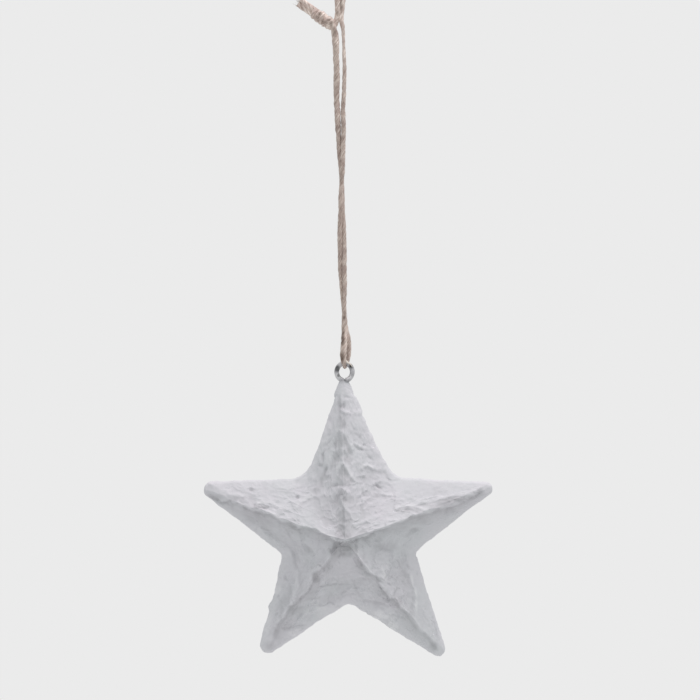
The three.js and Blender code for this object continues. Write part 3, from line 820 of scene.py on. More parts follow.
def beside_crest(side, shares):
    """How far each facet point stands beside its arm's crest, in millimetres: share x the distance at the edge."""
    edge = OUTLINE - RIM_ROUND * (1 - math.sin(RIM_START)) * OUTWARD - front_peak(side)
    tips = np.array([corner(TIP_RADIUS, k, TIP_SHIFTS[k]) for k in range(STAR_POINTS)])
    crest = unit(tips - front_peak(side))[ARM]
    return np.asarray(shares)[:, None] * np.abs(edge[:, 0] * crest[:, 1] - edge[:, 1] * crest[:, 0])


def half_star(side, shares, scale=1.0):
    """Half a star without its roughness, in millimetres: facets hollowed between ridge and valley, then a rolled rim.

    At share s of the way out: place = s x outline + (1 - s) x peak; height = rim + (peak - rim)(1 - s) - sag,
    where the sag is a half sine from ridge to valley, and in front also sqrt(fold)(1 - fold) under a ridge.
    """
    inset = RIM_ROUND * (1 - math.sin(RIM_START))
    edge = OUTLINE - inset * OUTWARD
    edge_height = RIM_ROUND * math.cos(RIM_START)
    peak = front_peak(side)
    s = np.asarray(shares)[:, None]
    place = s[..., None] * edge[None] + (1 - s)[..., None] * peak
    middle = 4 * s * (1 - s)
    bow = np.array(RIDGE_BOWS)[ARM][None] * np.exp(-((FOLD / 0.35) ** 2))[None, :, None]
    place = place + bow * middle[..., None] * (1.0 if side < 0 else 0.4)
    sags = np.array(FACET_SAGS)[FACET] * np.sin(math.pi * FOLD)
    if side < 0:
        sags = sags + np.array(RIDGE_SAGS)[FACET] * 2.6 * np.sqrt(FOLD) * (1 - FOLD)
    height = edge_height + (PEAK_HEIGHT - edge_height) * (1 - s) - sags[None] * np.minimum(1.0, middle)
    worn = smooth(s / 0.05) * smooth((1 - s) / 0.1)
    height = height - np.array(RIDGE_WEARS)[ARM] * np.exp(-beside_crest(side, shares) / WEAR_WIDTH) * worn
    return np.stack([place[..., 0], side * height, place[..., 1]], axis=-1) * scale


def rolled_rim(side):
    """The rolled edge from the facets to the mid-plane: a quarter turn about a line inside the outline."""
    turn = np.linspace(RIM_START, math.pi / 2, RIM_RINGS + 1)[1:, None, None]
    flat = OUTLINE[None] - RIM_ROUND * OUTWARD[None] * (1 - np.sin(turn))
    height = RIM_ROUND * np.cos(turn[..., 0]) * np.ones(OUTLINE_POINTS)[None]
    return np.stack([flat[..., 0], side * height, flat[..., 1]], axis=-1)


def in_frame(points):
    """Star millimetres to the part's frame in millimetres."""
    return points + np.array([STAR_CENTRE[0], 0.0, STAR_CENTRE[1]])


def photo_place(points):
    """Where points of the part's frame, in millimetres, show in the photo: pixels from its top left corner."""
    nearness = VIEW_DISTANCE / (VIEW_DISTANCE + points[..., 1] * MM)
    right = (points[..., 0] * MM - VIEW_X) * nearness / PIXEL
    up = (points[..., 2] * MM - VIEW_Z) * nearness / PIXEL
    return np.stack([PHOTO_SIZE / 2 + right, PHOTO_SIZE / 2 - up], axis=-1)


def beside_line(spots, line):
    """Distance from spots to a drawn line, positive on its left hand, and how present the line is there.

    The presence is 0.4 at the line's ends and 1 in its middle, by a half circle, and fades past the ends.
    """
    line = np.array(line, float)
    best = np.full(spots.shape[:-1], np.inf)
    sided = np.zeros(spots.shape[:-1])
    past = np.zeros(spots.shape[:-1])
    share = np.zeros(spots.shape[:-1])
    length = run_length(line)
    for k, (start, end) in enumerate(zip(line[:-1], line[1:])):
        long = np.linalg.norm(end - start)
        way = (end - start) / long
        along = (spots - start) @ way
        away = spots - start - np.clip(along, 0.0, long)[..., None] * way
        gap = np.linalg.norm(away, axis=-1)
        left_hand = way[1] * away[..., 0] - way[0] * away[..., 1]
        over = np.zeros_like(gap)
        if k == 0:
            over = np.maximum(over, -along)
        if k == len(line) - 2:
            over = np.maximum(over, along - long)
        nearer = gap < best
        best = np.where(nearer, gap, best)
        sided = np.where(nearer, np.where(left_hand < 0, -gap, gap), sided)
        past = np.where(nearer, over, past)
        share = np.where(nearer, (length[k] + np.clip(along, 0.0, long)) / length[-1], share)
    presence = (0.4 + 0.6 * np.sqrt(np.clip(4 * share * (1 - share), 0.0, 1.0))) * np.exp(-((past / 2.5) ** 2))
    return sided, presence


# Marks on the front, placed in pixels of the photo; heights and depths in millimetres.
# Sheets of paper that end in a torn edge over a hollow: line, height, how far behind the edge they thin away.
# A sheet lies on the left hand of its line.
SHEETS = [
    ([(205, 495), (222, 501), (238, 503.5), (251, 510), (262, 512), (272, 516), (284, 521.5), (300, 526.5),
      (313, 528.5), (330, 537.5), (338, 541.5), (347, 542.5), (357, 539), (372, 532.5), (386, 527), (400, 521.5),
      (411, 517), (424, 513.5), (437, 510.5), (450, 506.5), (462, 502.5), (471, 498), (484, 491)], 0.60, 60),
    ([(268, 648), (272, 640), (276, 632), (277, 625), (283, 620), (286, 613), (289, 606), (296, 603), (300, 597),
      (304, 593), (309, 587), (312, 580), (313, 573), (318, 569.5), (324, 565), (329, 560), (331.5, 554),
      (332.5, 546), (333, 541)], 0.50, 40),
    ([(357, 541), (357.5, 547), (356, 553), (359, 559), (364, 566), (370, 573), (377, 577), (381, 584), (386, 592),
      (391, 597), (397, 600), (400, 607), (406, 613), (411, 617), (415, 623), (420, 629), (427, 634), (432, 640),
      (437, 648)], 0.50, 40),
    ([(298, 562), (290, 551), (280, 543), (269, 536), (262, 528), (258, 521), (254, 513)], 0.30, 16),
    ([(406, 571), (409, 581), (412, 588), (415, 596), (415.5, 603), (414, 612)], 0.40, 12),
]
# Folds: line, height, width. The right hand side of the line falls away sharply.
FOLDS = [
    ([(338, 412.5), (341, 411), (346, 413), (353, 413.5), (362, 414)], 0.30, 1.5),
    ([(334, 442), (336, 435), (339, 431), (343, 431.5), (346, 437), (349, 444), (352, 451)], 0.45, 2.0),
    ([(336, 480), (338.5, 471), (341, 464.5), (344, 464), (347, 470), (350, 476), (353, 480)], 0.60, 2.0),
    ([(346, 460), (350, 462), (353, 466)], 0.25, 1.4),
    ([(333, 501), (337, 494), (341, 489.5), (345, 491), (349, 496)], 0.16, 2.0),
    ([(333, 520), (338, 513), (343, 509), (348, 513), (352, 520)], 0.20, 2.2),
    ([(353, 443.5), (357, 446), (361, 448), (366, 449)], 0.24, 1.3),
    ([(360, 469), (364, 467), (367, 466), (371, 468.5), (376, 470.5), (382, 471.5)], 0.42, 1.7),
    ([(356, 477), (362, 475.5), (368, 477)], 0.22, 1.6),
    ([(373, 484), (379, 482), (386, 483)], 0.28, 1.5),
    ([(297, 510), (301, 503), (307, 499), (314, 497), (326, 495)], 0.32, 2.0),
    ([(357, 505), (363, 503), (370, 497), (378, 494), (384, 495), (392, 496), (398, 497)], 0.32, 1.9),
    ([(396, 510), (402, 507.5), (410, 507.5), (418, 509), (425, 511)], 0.40, 1.6),
    ([(412, 507), (422, 504.5), (432, 502), (442, 499.5), (452, 497), (462, 495.5), (471, 495.5)], 0.42, 1.8),
    ([(356, 534), (362, 530), (368, 528), (378, 524)], 0.28, 1.5),
    ([(362, 524), (372, 519), (384, 517)], 0.22, 1.6),
    ([(228, 495), (240, 497), (254, 496)], 0.20, 1.8),
    ([(268, 503), (280, 508), (290, 509)], 0.22, 1.8),
    ([(276, 488), (288, 490), (299, 487)], 0.18, 1.8),
    ([(256, 504.5), (263, 504.0), (270, 506.5)], 0.50, 1.5),
    ([(288, 610), (294, 600), (298, 588), (299, 578), (297, 569)], 0.30, 2.0),
    ([(296, 549), (300, 556), (303, 563)], 0.25, 1.7),
    ([(338, 598), (344, 595.5), (349, 594.5), (354, 596.5), (359, 599)], 0.25, 1.3),
    ([(386, 587), (386, 578), (383, 570), (379, 561)], 0.16, 2.4),
    ([(352, 578), (360, 577), (371, 578)], 0.22, 1.8), ([(343.5, 531), (348, 536), (354, 543)], 0.35, 1.0),
    ([(304, 541), (312, 548), (318, 557)], 0.20, 2.0),
    ([(399, 541), (394, 551), (392, 562)], 0.20, 2.4),
    ([(334, 529), (339, 524.5), (344, 526.5), (348, 530)], 0.28, 1.4),
]
# Creases: line, depth, width
CREASES = [
    ([(338.7, 395), (338.4, 403), (338.2, 411)], 0.70, 1.5),
    ([(344, 397), (350, 397.5)], 0.60, 1.1), ([(343, 405), (346, 402.8), (349, 402)], 0.32, 1.1),
    ([(344, 423), (342.5, 431)], 0.25, 1.6), ([(350.5, 423), (354.5, 431)], 0.20, 1.2),
    ([(336, 438), (334.5, 449)], 0.32, 1.5), ([(343, 438), (347, 448), (351, 456)], 0.40, 1.5),
    ([(337, 452), (337, 462)], 0.32, 1.8), ([(344.5, 452), (347.5, 460)], 0.32, 1.6),
    ([(353, 445.5), (355, 447.5), (358, 449.5), (365, 451)], 0.20, 1.0), ([(354.5, 433), (358, 436), (361, 439.5)], 0.38, 1.2),
    ([(366, 453.5), (369, 457), (374, 461.5)], 0.30, 1.2), ([(382, 471), (386, 476), (390, 482)], 0.38, 1.5),
    ([(366, 476), (372, 478), (378, 482)], 0.32, 1.3), ([(375.5, 485), (378.5, 487), (381.5, 489.5)], 1.00, 1.5),
    ([(326, 468), (325, 473), (322.5, 478), (320.5, 486)], 1.20, 1.7), ([(323, 463), (322.5, 455), (325, 450), (331, 447.5)], 0.60, 1.1), ([(330, 486), (338, 485), (348, 484.5)], 0.28, 1.8),
    ([(340, 495), (336, 503)], 0.25, 1.5), ([(339.5, 491), (342, 495), (345, 500), (350, 503)], 0.30, 1.6),
    ([(343.5, 509), (343.2, 517), (344.5, 523)], 0.50, 1.3),
     ([(346, 531), (350, 537), (353, 542)], 0.45, 1.3),
    ([(206, 493), (212, 497), (220, 501.5)], 0.35, 2.2), ([(221, 503), (226, 502.5), (231, 500.5)], 0.60, 1.0), ([(252.5, 510), (254, 506), (257, 503.5)], 0.40, 1.2),
    ([(256, 508.0), (262, 508), (269, 509.0)], 0.60, 1.2), ([(286, 530), (290, 537), (297, 546)], 0.28, 1.5),
    ([(397, 512), (405, 511), (412, 511.5), (419, 514)], 0.45, 1.3), ([(476, 497), (479, 493), (482, 489.5)], 0.38, 1.8),
    ([(432, 508), (442, 505), (452, 502), (462, 499.5), (471, 497.5)], 0.70, 2.4), ([(407, 536), (412, 531.5), (418, 529.5)], 0.42, 2.0),
    ([(292, 552), (294, 558), (295.5, 564), (297, 569)], 0.38, 1.4), ([(306, 547), (309, 552)], 0.28, 1.5),
    ([(303, 568), (306, 563), (309, 559)], 0.22, 1.3), ([(288, 607), (291, 597), (290, 585)], 0.22, 1.6),
    ([(280, 600), (282, 611), (280, 619)], 0.25, 1.5), ([(321, 587), (329, 585), (337, 584.5), (352, 585)], 0.36, 1.0),
    ([(302, 603), (310, 600), (320, 598)], 0.28, 1.0), ([(300, 609), (310, 607), (320, 606)], 0.20, 0.9),
    ([(306, 594.5), (319, 592)], 0.16, 0.9), ([(284, 631), (291, 628.5), (297, 626), (306, 625)], 0.28, 1.0),
    ([(351, 580), (355, 588), (360, 598)], 0.34, 1.2), ([(372, 604), (383, 610), (390, 616)], 0.24, 1.2),
    ([(358, 601), (370, 602), (378, 604.5), (388, 606.5), (399, 606.5)], 0.38, 1.3),
    ([(323, 447), (328, 443), (334, 436)], 0.35, 1.4), ([(336, 453), (334, 462), (331, 471)], 0.40, 1.8),
    ([(329, 416), (333, 426)], 0.30, 1.6), ([(327, 436), (332, 434), (338, 434)], 0.28, 1.3),
    ([(309, 488), (315, 486), (321, 488)], 0.30, 1.3), ([(397, 560), (401, 568), (404, 576)], 0.25, 1.6), ([(434, 621), (436, 632), (437.5, 641)], 0.20, 1.3),
    ([(374, 543), (385, 548), (397, 548)], 0.25, 3.0), ([(299, 575), (304, 571), (308, 573)], 0.15, 1.5),
    ([(336, 533), (341, 531), (346, 527.5)], 0.50, 1.2), ([(338, 538), (343, 535.5), (348, 539)], 0.45, 1.2),
]
# Spots: middle, depth (a rise where it is negative), half width, half height
SPOTS = [
    ((341.5, 406), 0.70, 3.2, 2.8), ((346, 400.3), -0.30, 2.6, 1.7), ((341, 419.5), 0.30, 3.2, 4.6),
    ((329, 457), -0.60, 6.0, 8.2), ((320.5, 465.8), 0.50, 2.4, 1.7), ((344.5, 474.5), 0.40, 4.4, 5.6),
    ((343, 487), 0.30, 3.2, 2.0), ((344.8, 500.0), 0.80, 2.6, 3.4), ((343.5, 520), 0.45, 2.4, 4.2),
    ((251, 490), 0.95, 2.4, 1.5), ((297, 497.5), 0.85, 1.8, 1.4), ((213, 498), 0.40, 8.5, 3.6),
    ((480, 491.5), 0.30, 2.4, 3.0), ((414, 530), 0.34, 4.6, 2.2), ((316.0, 578.5), 0.90, 3.6, 4.8),
    ((378, 580.5), 0.75, 2.8, 2.4), ((345.0, 548.0), 0.18, 13.0, 6.5), ((355.5, 550), 0.25, 2.4, 6.5),
    
    ((285, 577.5), 0.45, 1.4, 2.3), ((278.5, 597), 0.42, 1.4, 2.3), ((270, 646.5), 0.30, 5.0, 3.2),
    ((434, 647), 0.40, 3.0, 4.0), ((262, 506.5), -0.30, 8.0, 2.0), ((405, 566), 0.20, 3.2, 6.5),
    ((333.5, 558), 0.35, 3.4, 3.2), ((356, 540), 0.45, 3.4, 2.4), ((396, 603.5), 0.30, 2.4, 3.2), ((292, 612), 0.25, 2.4, 4.4),
    ((338.0, 547.0), 0.60, 4.0, 3.8), ((350.0, 548.0), 0.40, 3.0, 3.6),
]
# Calmer places: middle, share taken off the roughness (rougher where negative), half width, half height
CALM_PLACES = [
    ((437, 488), 0.75, 44, 10), ((258, 491), 0.35, 46, 9), ((434, 524), 0.55, 40, 14), ((243, 520), 0.50, 26, 11),
    ((345, 568), 0.60, 16, 10), ((421, 600), 0.45, 11, 40), ((268, 640), 0.50, 9, 12), ((312, 513), 0.45, 17, 13),
    ((378, 511), 0.45, 20, 11), ((360, 425), 0.35, 10, 16), ((345, 490), 0.15, 46, 30),
    ((345, 596), -0.28, 100, 52),
]


# Dents of the edge (swells where negative): middle, depth, half width
EDGE_DENTS = [
    ((277, 586), 1.0, 13), ((362, 402), -0.8, 10), ((320, 621), 0.6, 12), ((380, 622), 0.7, 13),
    ((319, 439), 0.5, 12), ((429, 596), 0.2, 14), ((396, 640), 0.4, 8), ((270, 606), -0.5, 4),
]

# Painted shade in hollows and painted light on lit places: middle, shade (lighter, as painted light, where negative),
# half width, half height
PAPER_SHADES = [
    ((342, 551.0), 0.60, 10.5, 7.0), ((316, 578.5), 0.34, 3.4, 4.8), ((411, 583), -0.13, 2.4, 9.0),
    ((415, 600), -0.13, 2.4, 11.0), ((384, 568), -0.08, 4.0, 12.0), ((341.5, 422), 0.14, 4.0, 8.0),
    ((341, 406), 0.14, 4.5, 5.0), ((342, 447), 0.12, 8.0, 13.0), ((344, 475), 0.10, 5.5, 7.0),
    ((342, 501), 0.09, 8.0, 8.0), ((343, 520), 0.08, 8.0, 14.0), ((212, 498), 0.10, 9.0, 4.0),
    ((452, 500), 0.12, 18.0, 2.6), ((479, 493), 0.12, 4.0, 4.0), ((270, 645), 0.10, 6.0, 4.0),
    ((294, 611), 0.12, 6.0, 5.0), ((434, 646), 0.14, 5.0, 5.0), ((385, 547), 0.08, 12.0, 5.0),
    ((399, 603), 0.16, 3.5, 5.0), ((395, 575), 0.06, 6.0, 16.0), ((252, 520), 0.06, 5.0, 6.0),
    ((306, 550), 0.07, 10.0, 5.0), ((335, 612), -0.05, 20.0, 7.0), ((268, 625), -0.05, 5.0, 14.0),
    ((322, 476), 0.05, 15.0, 12.0), ((370, 476), 0.04, 15.0, 12.0), ((345, 578), 0.05, 22.0, 18.0),
    ((322, 511), 0.10, 13.0, 14.0), ((376, 512), 0.06, 15.0, 10.0), ((330, 448), -0.06, 7.0, 24.0),
    ((313, 606), -0.08, 13.0, 9.0), ((392, 612), -0.08, 13.0, 8.0), ((338.5, 525.5), 0.16, 5.5, 5.0),
    ((341, 535), 0.18, 4.5, 4.5), ((348, 520.5), 0.14, 4.0, 2.0), ((335, 502), 0.08, 6.0, 7.0),
    ((392, 530), 0.10, 14.0, 4.5), ((418, 520), 0.13, 14.0, 4.5), ((444, 511), 0.12, 14.0, 4.0),
    ((326, 566), 0.16, 5.0, 6.0), ((361, 563), 0.14, 5.0, 8.0), ((408, 617), 0.10, 6.0, 7.0),
    ((372, 577), 0.08, 6.0, 5.0), ((305, 592), 0.06, 5.0, 7.0), ((340.5, 545.5), 0.14, 4.0, 3.6), ((349, 535.5), 0.16, 4.5, 3.0),
    ((293, 522), 0.16, 9.0, 3.5), ((317, 492), 0.15, 5.0, 4.0), ((348, 462), 0.15, 5.0, 5.0),
    ((347, 481.5), 0.13, 6.0, 4.0), ((407, 512), 0.13, 7.0, 3.0), ((426, 505), 0.12, 8.0, 3.0),
    ((375, 493), 0.12, 6.0, 4.0), ((345, 428), 0.12, 5.0, 5.0), ((393, 625), -0.14, 5.0, 6.0),
    ((379, 616), -0.12, 9.0, 5.0), ((278, 592), -0.14, 4.0, 6.0), ((295, 633), -0.11, 6.0, 4.0),
]


def spot_shares(spots, place, half_width, half_height):
    """exp(-d^4), where d is the distance from a place in half widths and half heights."""
    square = ((spots[..., 0] - place[0]) / half_width) ** 2 + ((spots[..., 1] - place[1]) / half_height) ** 2
    return np.exp(-(square**2))


def front_marks(spots):
    """The marks listed at photo places: their lift in millimetres and their shade, from 0 to 1.

    A sheet is a step at its line with a trough on the line's other side, painted dark as its shadow and painted
    light on its crest; a fold is a bell curve, three times steeper on one side, painted dark behind as its shadow
    and light on its crest; a crease is a bell curve downwards, painted dark as shade. Noise makes every line ragged.
    """
    flat = np.concatenate([spots, np.zeros((*spots.shape[:-1], 1))], axis=-1)
    ragged = rough_noise(flat, 7.0, 3, 4.4)
    vary = np.clip(1.0 + 0.45 * value_noise(flat, 17.0, 2.9) + 0.45 * value_noise(flat, 6.0, 1.1), 0.2, 1.5)
    lift = np.zeros(spots.shape[:-1])
    shade = np.zeros(spots.shape[:-1])
    for line, height, thins in SHEETS:
        sided, there = beside_line(spots, line)
        sided = sided + 1.6 * ragged
        trough = np.exp(-(((sided + 1.8) / (0.9 + 0.6 * vary)) ** 2))
        under = np.exp(-(((sided + 5.0) / 4.5) ** 2))
        crest = np.exp(-(((sided - 1.2) / 1.2) ** 2))
        step = smooth(sided + 0.5) * np.exp(-np.maximum(sided, 0.0) / thins)
        lift += height * there * (0.8 * step - 0.3 * trough * vary)
        # Painted shadow in the trough and below it, painted highlight on the crest
        shade += height * there * (vary * (0.46 * trough + 0.20 * under) - 0.14 * crest)
    for line, height, width in FOLDS:
        sided, there = beside_line(spots, line)
        sided = sided + 0.8 * ragged
        steep = np.where(sided > 0, 1.5 * width, 0.5 * width)
        crest = height * there * vary * np.exp(-((sided / steep) ** 2))
        behind = height * there * vary * np.exp(-(((sided + width) / (0.8 * width)) ** 2))
        lift += 0.75 * crest
        # Painted shadow behind the fold, painted highlight on its crest
        shade += 0.35 * behind - 0.25 * crest
    for line, depth, width in CREASES:
        sided, there = beside_line(spots, line)
        hollow = depth * there * vary * np.exp(-(((sided + 0.8 * ragged) / width) ** 2))
        lift -= 0.55 * hollow
        # Painted shade in the crease
        shade += 0.45 * hollow
    for place, depth, half_width, half_height in SPOTS:
        share = spot_shares(spots + 0.8 * ragged[..., None], place, half_width, half_height)
        lift -= 0.45 * depth * share
        # Painted shade in the pit
        shade += 0.35 * max(depth, 0.0) * share
    return lift, shade


def roughness_left(spots):
    """How much of the paper's roughness is left at photo places."""
    left = np.ones(spots.shape[:-1])
    for place, share, half_width, half_height in CALM_PLACES:
        left *= 1.0 - share * spot_shares(spots, place, half_width, half_height)
    return left


LAYERS = [(11.0, 0.05, 0.30), (7.5, -0.05, 0.24), (5.0, 0.10, 0.15)]  # size, level, height


def torn_layers(points, side):
    """Overlapping torn paper: each layer is a step where rough noise crosses a level, thinning behind its edge."""
    total = np.zeros(points.shape[:-1])
    warp = np.stack([value_noise(points, 2.4, 3.0 + k) for k in range(3)], axis=-1) * 0.8
    for k, (size, level, height) in enumerate(LAYERS):
        field = (rough_noise(points + warp, size, 4, 20.0 * side + 5.7 * k) - level) * size
        total += height * smooth(field / 0.6 + 0.5) * (0.3 + 0.7 * np.exp(-np.maximum(field, 0.0) / 2.0))
    return total


def paper_wrinkles(points, side):
    """Ridged noise: one minus the size of noise gives sharp crests, at two widths, plus fine lumps."""
    warp = np.stack([value_noise(points, 3.0, 6.0 + k) for k in range(3)], axis=-1) * 0.9
    broad = 1.0 - np.abs(rough_noise(points + warp, 6.0, 2, 31.0 * side))
    narrow = 1.0 - np.abs(rough_noise(points + warp, 2.6, 2, 17.0 * side + 9.0))
    fine = rough_noise(points, 1.1, 2, 13.0 * side + 2.0)
    lumps = rough_noise(points, 15.0, 2, 11.0 * side + 4.0)
    return 0.24 * broad**4 + 0.16 * narrow**4 + 0.07 * fine + 0.30 * lumps


def arm_strokes(points, side):
    """Ridged noise three times as long along each arm as across it, gone in the valleys and round the peak."""
    turn = 2 * math.pi * ARM / STAR_POINTS
    right = points[..., 0] - STAR_CENTRE[0]
    up = points[..., 2] - STAR_CENTRE[1]
    along = right * np.sin(turn) + up * np.cos(turn)
    across = right * np.cos(turn) - up * np.sin(turn)
    spots = np.stack([along / 3.2, across, 17.0 * ARM + np.zeros_like(along)], axis=-1)
    strokes = 1.0 - np.abs(rough_noise(spots, 2.8, 3, 23.0 * side + 1.7))
    return 0.34 * strokes**4 * (1.0 - FOLD**3) * smooth(along / 18.0 - 0.2)


def inner_depth(points, side):
    """How far from the mid-plane the skin's inner face lies behind each point: the plain half star, made smaller."""
    scale = 1 - SKIN_WALL_SHARE
    peak = front_peak(side)
    edge = OUTLINE - RIM_ROUND * (1 - math.sin(RIM_START)) * OUTWARD - peak
    edge_angle = np.arctan2(edge[:, 1], edge[:, 0])
    sags = np.array(FACET_SAGS)[FACET] * np.sin(math.pi * FOLD)
    place = (points[..., [0, 2]] - STAR_CENTRE) / scale - peak
    angle = np.arctan2(place[..., 1], place[..., 0])
    reach = np.interp(angle, edge_angle, np.linalg.norm(edge, axis=1), period=2 * math.pi)
    sag = np.interp(angle, edge_angle, sags, period=2 * math.pi)
    s = np.linalg.norm(place, axis=-1) / reach
    edge_height = RIM_ROUND * math.cos(RIM_START)
    height = edge_height + (PEAK_HEIGHT - edge_height) * (1 - s) - sag * np.clip(4 * s * (1 - s), 0.0, 1.0)
    return np.where(s < 1.0, height * scale, 0.0)


def surface_normals(grid):
    """Outward directions on a grid of rings from the cross product of its two steps."""
    around = np.roll(grid, -1, axis=1) - np.roll(grid, 1, axis=1)
    down = np.gradient(grid, axis=0)
    return unit(np.cross(around, down))


RELIEF_LEVEL = 0.44


def paper_half(name, side, node):
    """Half of the pasted paper skin: rough outside, rolled rim, and a plain inside on the card."""
    shares = np.linspace(0.0, 1.0, FACET_RINGS + 1)[1:] ** 0.92
    if side > 0:
        shares = shares[::-BACK_RING_STEP][::-1]
    outside = in_frame(np.concatenate([half_star(side, shares), rolled_rim(side)]))
    normals = surface_normals(outside)
    normals *= np.sign((normals[: len(shares)][..., 1] * side).mean())
    rim_normal = np.stack([OUTWARD[:, 0], np.zeros(OUTLINE_POINTS), OUTWARD[:, 1]], axis=-1)
    normals[-1] = rim_normal
    at_rim = np.concatenate([np.zeros(len(shares)), np.linspace(0, 1, RIM_RINGS)])[:, None, None]
    normals = unit(normals * (1 - at_rim) + rim_normal[None] * at_rim)
    by_crest = np.exp(-((beside_crest(side, shares) / 1.1) ** 2)) * smooth((1 - shares) / 0.15)[:, None]
    straight = np.concatenate([by_crest, np.zeros((RIM_RINGS, OUTLINE_POINTS))])[..., None]
    normals = unit(normals * (1 - straight) + np.array([0.0, side, 0.0]) * straight)
    relief = torn_layers(outside, side) + paper_wrinkles(outside, side) + arm_strokes(outside, side) - RELIEF_LEVEL
    seam = outside[-1:]
    seam_lift = 0.75 * (torn_layers(seam, -1) + paper_wrinkles(seam, -1) - RELIEF_LEVEL)
    for place, depth, half_width in EDGE_DENTS:
        seam_lift = seam_lift - depth * spot_shares(photo_place(seam), place, half_width, half_width)
    to_seam = np.concatenate([np.zeros(len(shares)), smooth(np.linspace(0, 1, RIM_RINGS))])[:, None]
    near_rim = np.concatenate([smooth((shares - 0.82) / 0.18), np.ones(RIM_RINGS)])[:, None]
    relief = relief * (1.0 - 0.35 * near_rim)
    # Painted shade: the paint is darkened in the relief's hollows deeper than 0.2 mm, where shade falls.
    shade = np.clip(-0.5 * (relief + 0.2), 0.0, 1.0)
    if side < 0:
        spots = photo_place(outside)
        marks, drawn = front_marks(spots)
        relief = relief * roughness_left(spots) + marks
        # The front adds its marks' painted shadows and highlights and the listed patches of painted shade and painted
        # light.
        shade = shade + drawn + placed_shade(outside, PAPER_SHADES)
    else:
        relief = relief * BACK_ROUGHNESS
    # Painted shade saturates towards DARKEST_SHADE and fades out towards the seam; painted light makes the rim lighter.
    shade = np.where(shade > 0.0, DARKEST_SHADE * (1.0 - np.exp(-shade / DARKEST_SHADE)), shade)
    shade = shade * (1 - to_seam) - 0.05 * near_rim
    lift = np.maximum(relief, DEEPEST_HOLLOW) * (1 - to_seam) + seam_lift * to_seam
    quiet = np.concatenate([smooth(shares / 0.03), np.ones(RIM_RINGS)])[:, None]
    lift = lift * quiet
    rough = outside + normals * lift[..., None]
    least = inner_depth(rough, side) + CARD_COVER
    rough[: len(shares), :, 1] = side * np.maximum(side * rough[..., 1], least)[: len(shares)]
    rough[-1, :, 1] = 0.0
    inside_scale = 1 - SKIN_WALL_SHARE
    inner = in_frame(half_star(side, INNER_SHARES, inside_scale))
    rim_line = np.stack([OUTLINE[:, 0], np.zeros(OUTLINE_POINTS), OUTLINE[:, 1]], axis=-1)
    inner_rim = in_frame(rim_line[None] * inside_scale)
    rings = np.concatenate([rough, inner_rim, inner])
    outer_pole = rough[0].mean(axis=0)
    inner_pole = inner[-1].mean(axis=0) + np.array([0.0, side * 3.0, 0.0])
    piece = closed_rings(name, rings * MM, PAPER, outer_pole * MM, inner_pole * MM)
    set_shade(piece, shade)
    piece.data.set_sharp_from_angle(angle=math.radians(75))
    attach(piece, "star")
    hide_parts(node)
    return piece


# Eye and the paste round its foot


def wire_eye():
    """The eye: one wire from its cut end round the ring and down into the threaded shank, a tube along that path.

    On the shank the radius falls and rises once each pitch, and the groove climbs with the turn round the wire.
    """
    degrees = np.linspace(-82.0, 236.0, 40)
    turn = np.radians(degrees)
    ahead = -0.55 * smooth((-30.0 - degrees) / 50.0)
    ring = np.stack([EYE_HALF_WIDTH * np.cos(turn), ahead, EYE_CENTRE_Z + EYE_HALF_HEIGHT * np.sin(turn)], axis=1)
    foot = np.array([(-0.75, 0.0, -146.95), (-0.12, 0.0, -147.7), (0.0, 0.0, -149.0)])
    shank = np.stack([np.zeros(10), np.zeros(10), np.linspace(-151.0, SHANK_END_Z, 10)], axis=1)
    line, _ = evenly(catmull_rom(np.concatenate([ring, foot, shank]), 20), 0.12)
    _, across, over = twisted_frames(line)
    angle = np.linspace(0.0, 2 * math.pi, 28, endpoint=False)
    height = line[:, 2][:, None]
    groove = 0.5 - 0.5 * np.cos(2 * math.pi * height / THREAD_PITCH + angle[None, :])
    on_thread = smooth((THREAD_TOP_Z - height) / 0.8) * (np.abs(line[:, 0])[:, None] < 0.2)
    point = np.clip((height - SHANK_END_Z) / 1.8, 0.05, 1.0)
    wear = 0.02 * rough_noise(line[:, None] + np.stack([np.cos(angle), np.sin(angle), 0 * angle], axis=1)[None], 1.3, 2)
    radius = (WIRE_RADIUS * (1 + wear) - THREAD_DEPTH * groove * on_thread) * point
    rings = line[:, None] + radius[..., None] * (
        np.cos(angle)[None, :, None] * across[:, None] + np.sin(angle)[None, :, None] * over[:, None]
    )
    piece = closed_rings("wire_eye", rings * MM, METAL, line[0] * MM, line[-1] * MM)
    # The ring takes painted shade at its listed places.
    set_shade(piece, placed_shade(rings, METAL_SHADES))
    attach(piece, "star")
    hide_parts("screw_eye")


# Paste round the eye's foot: height, half width, half depth, in millimetres
PASTE_SECTIONS = [
    (-147.05, 0.6, 0.6), (-147.2, 1.4, 1.0), (-147.6, 1.8, 1.3), (-148.1, 1.95, 1.4), (-148.8, 2.25, 1.65),
    (-149.6, 2.6, 2.0), (-150.6, 3.0, 2.2), (-151.6, 3.3, 2.3),
    (-152.6, 3.4, 2.2), (-153.6, 3.0, 2.0), (-154.2, 1.8, 1.2),
]
PASTE_LEAN = -0.1  # the paste's middle stands this far left of the eye, in millimetres


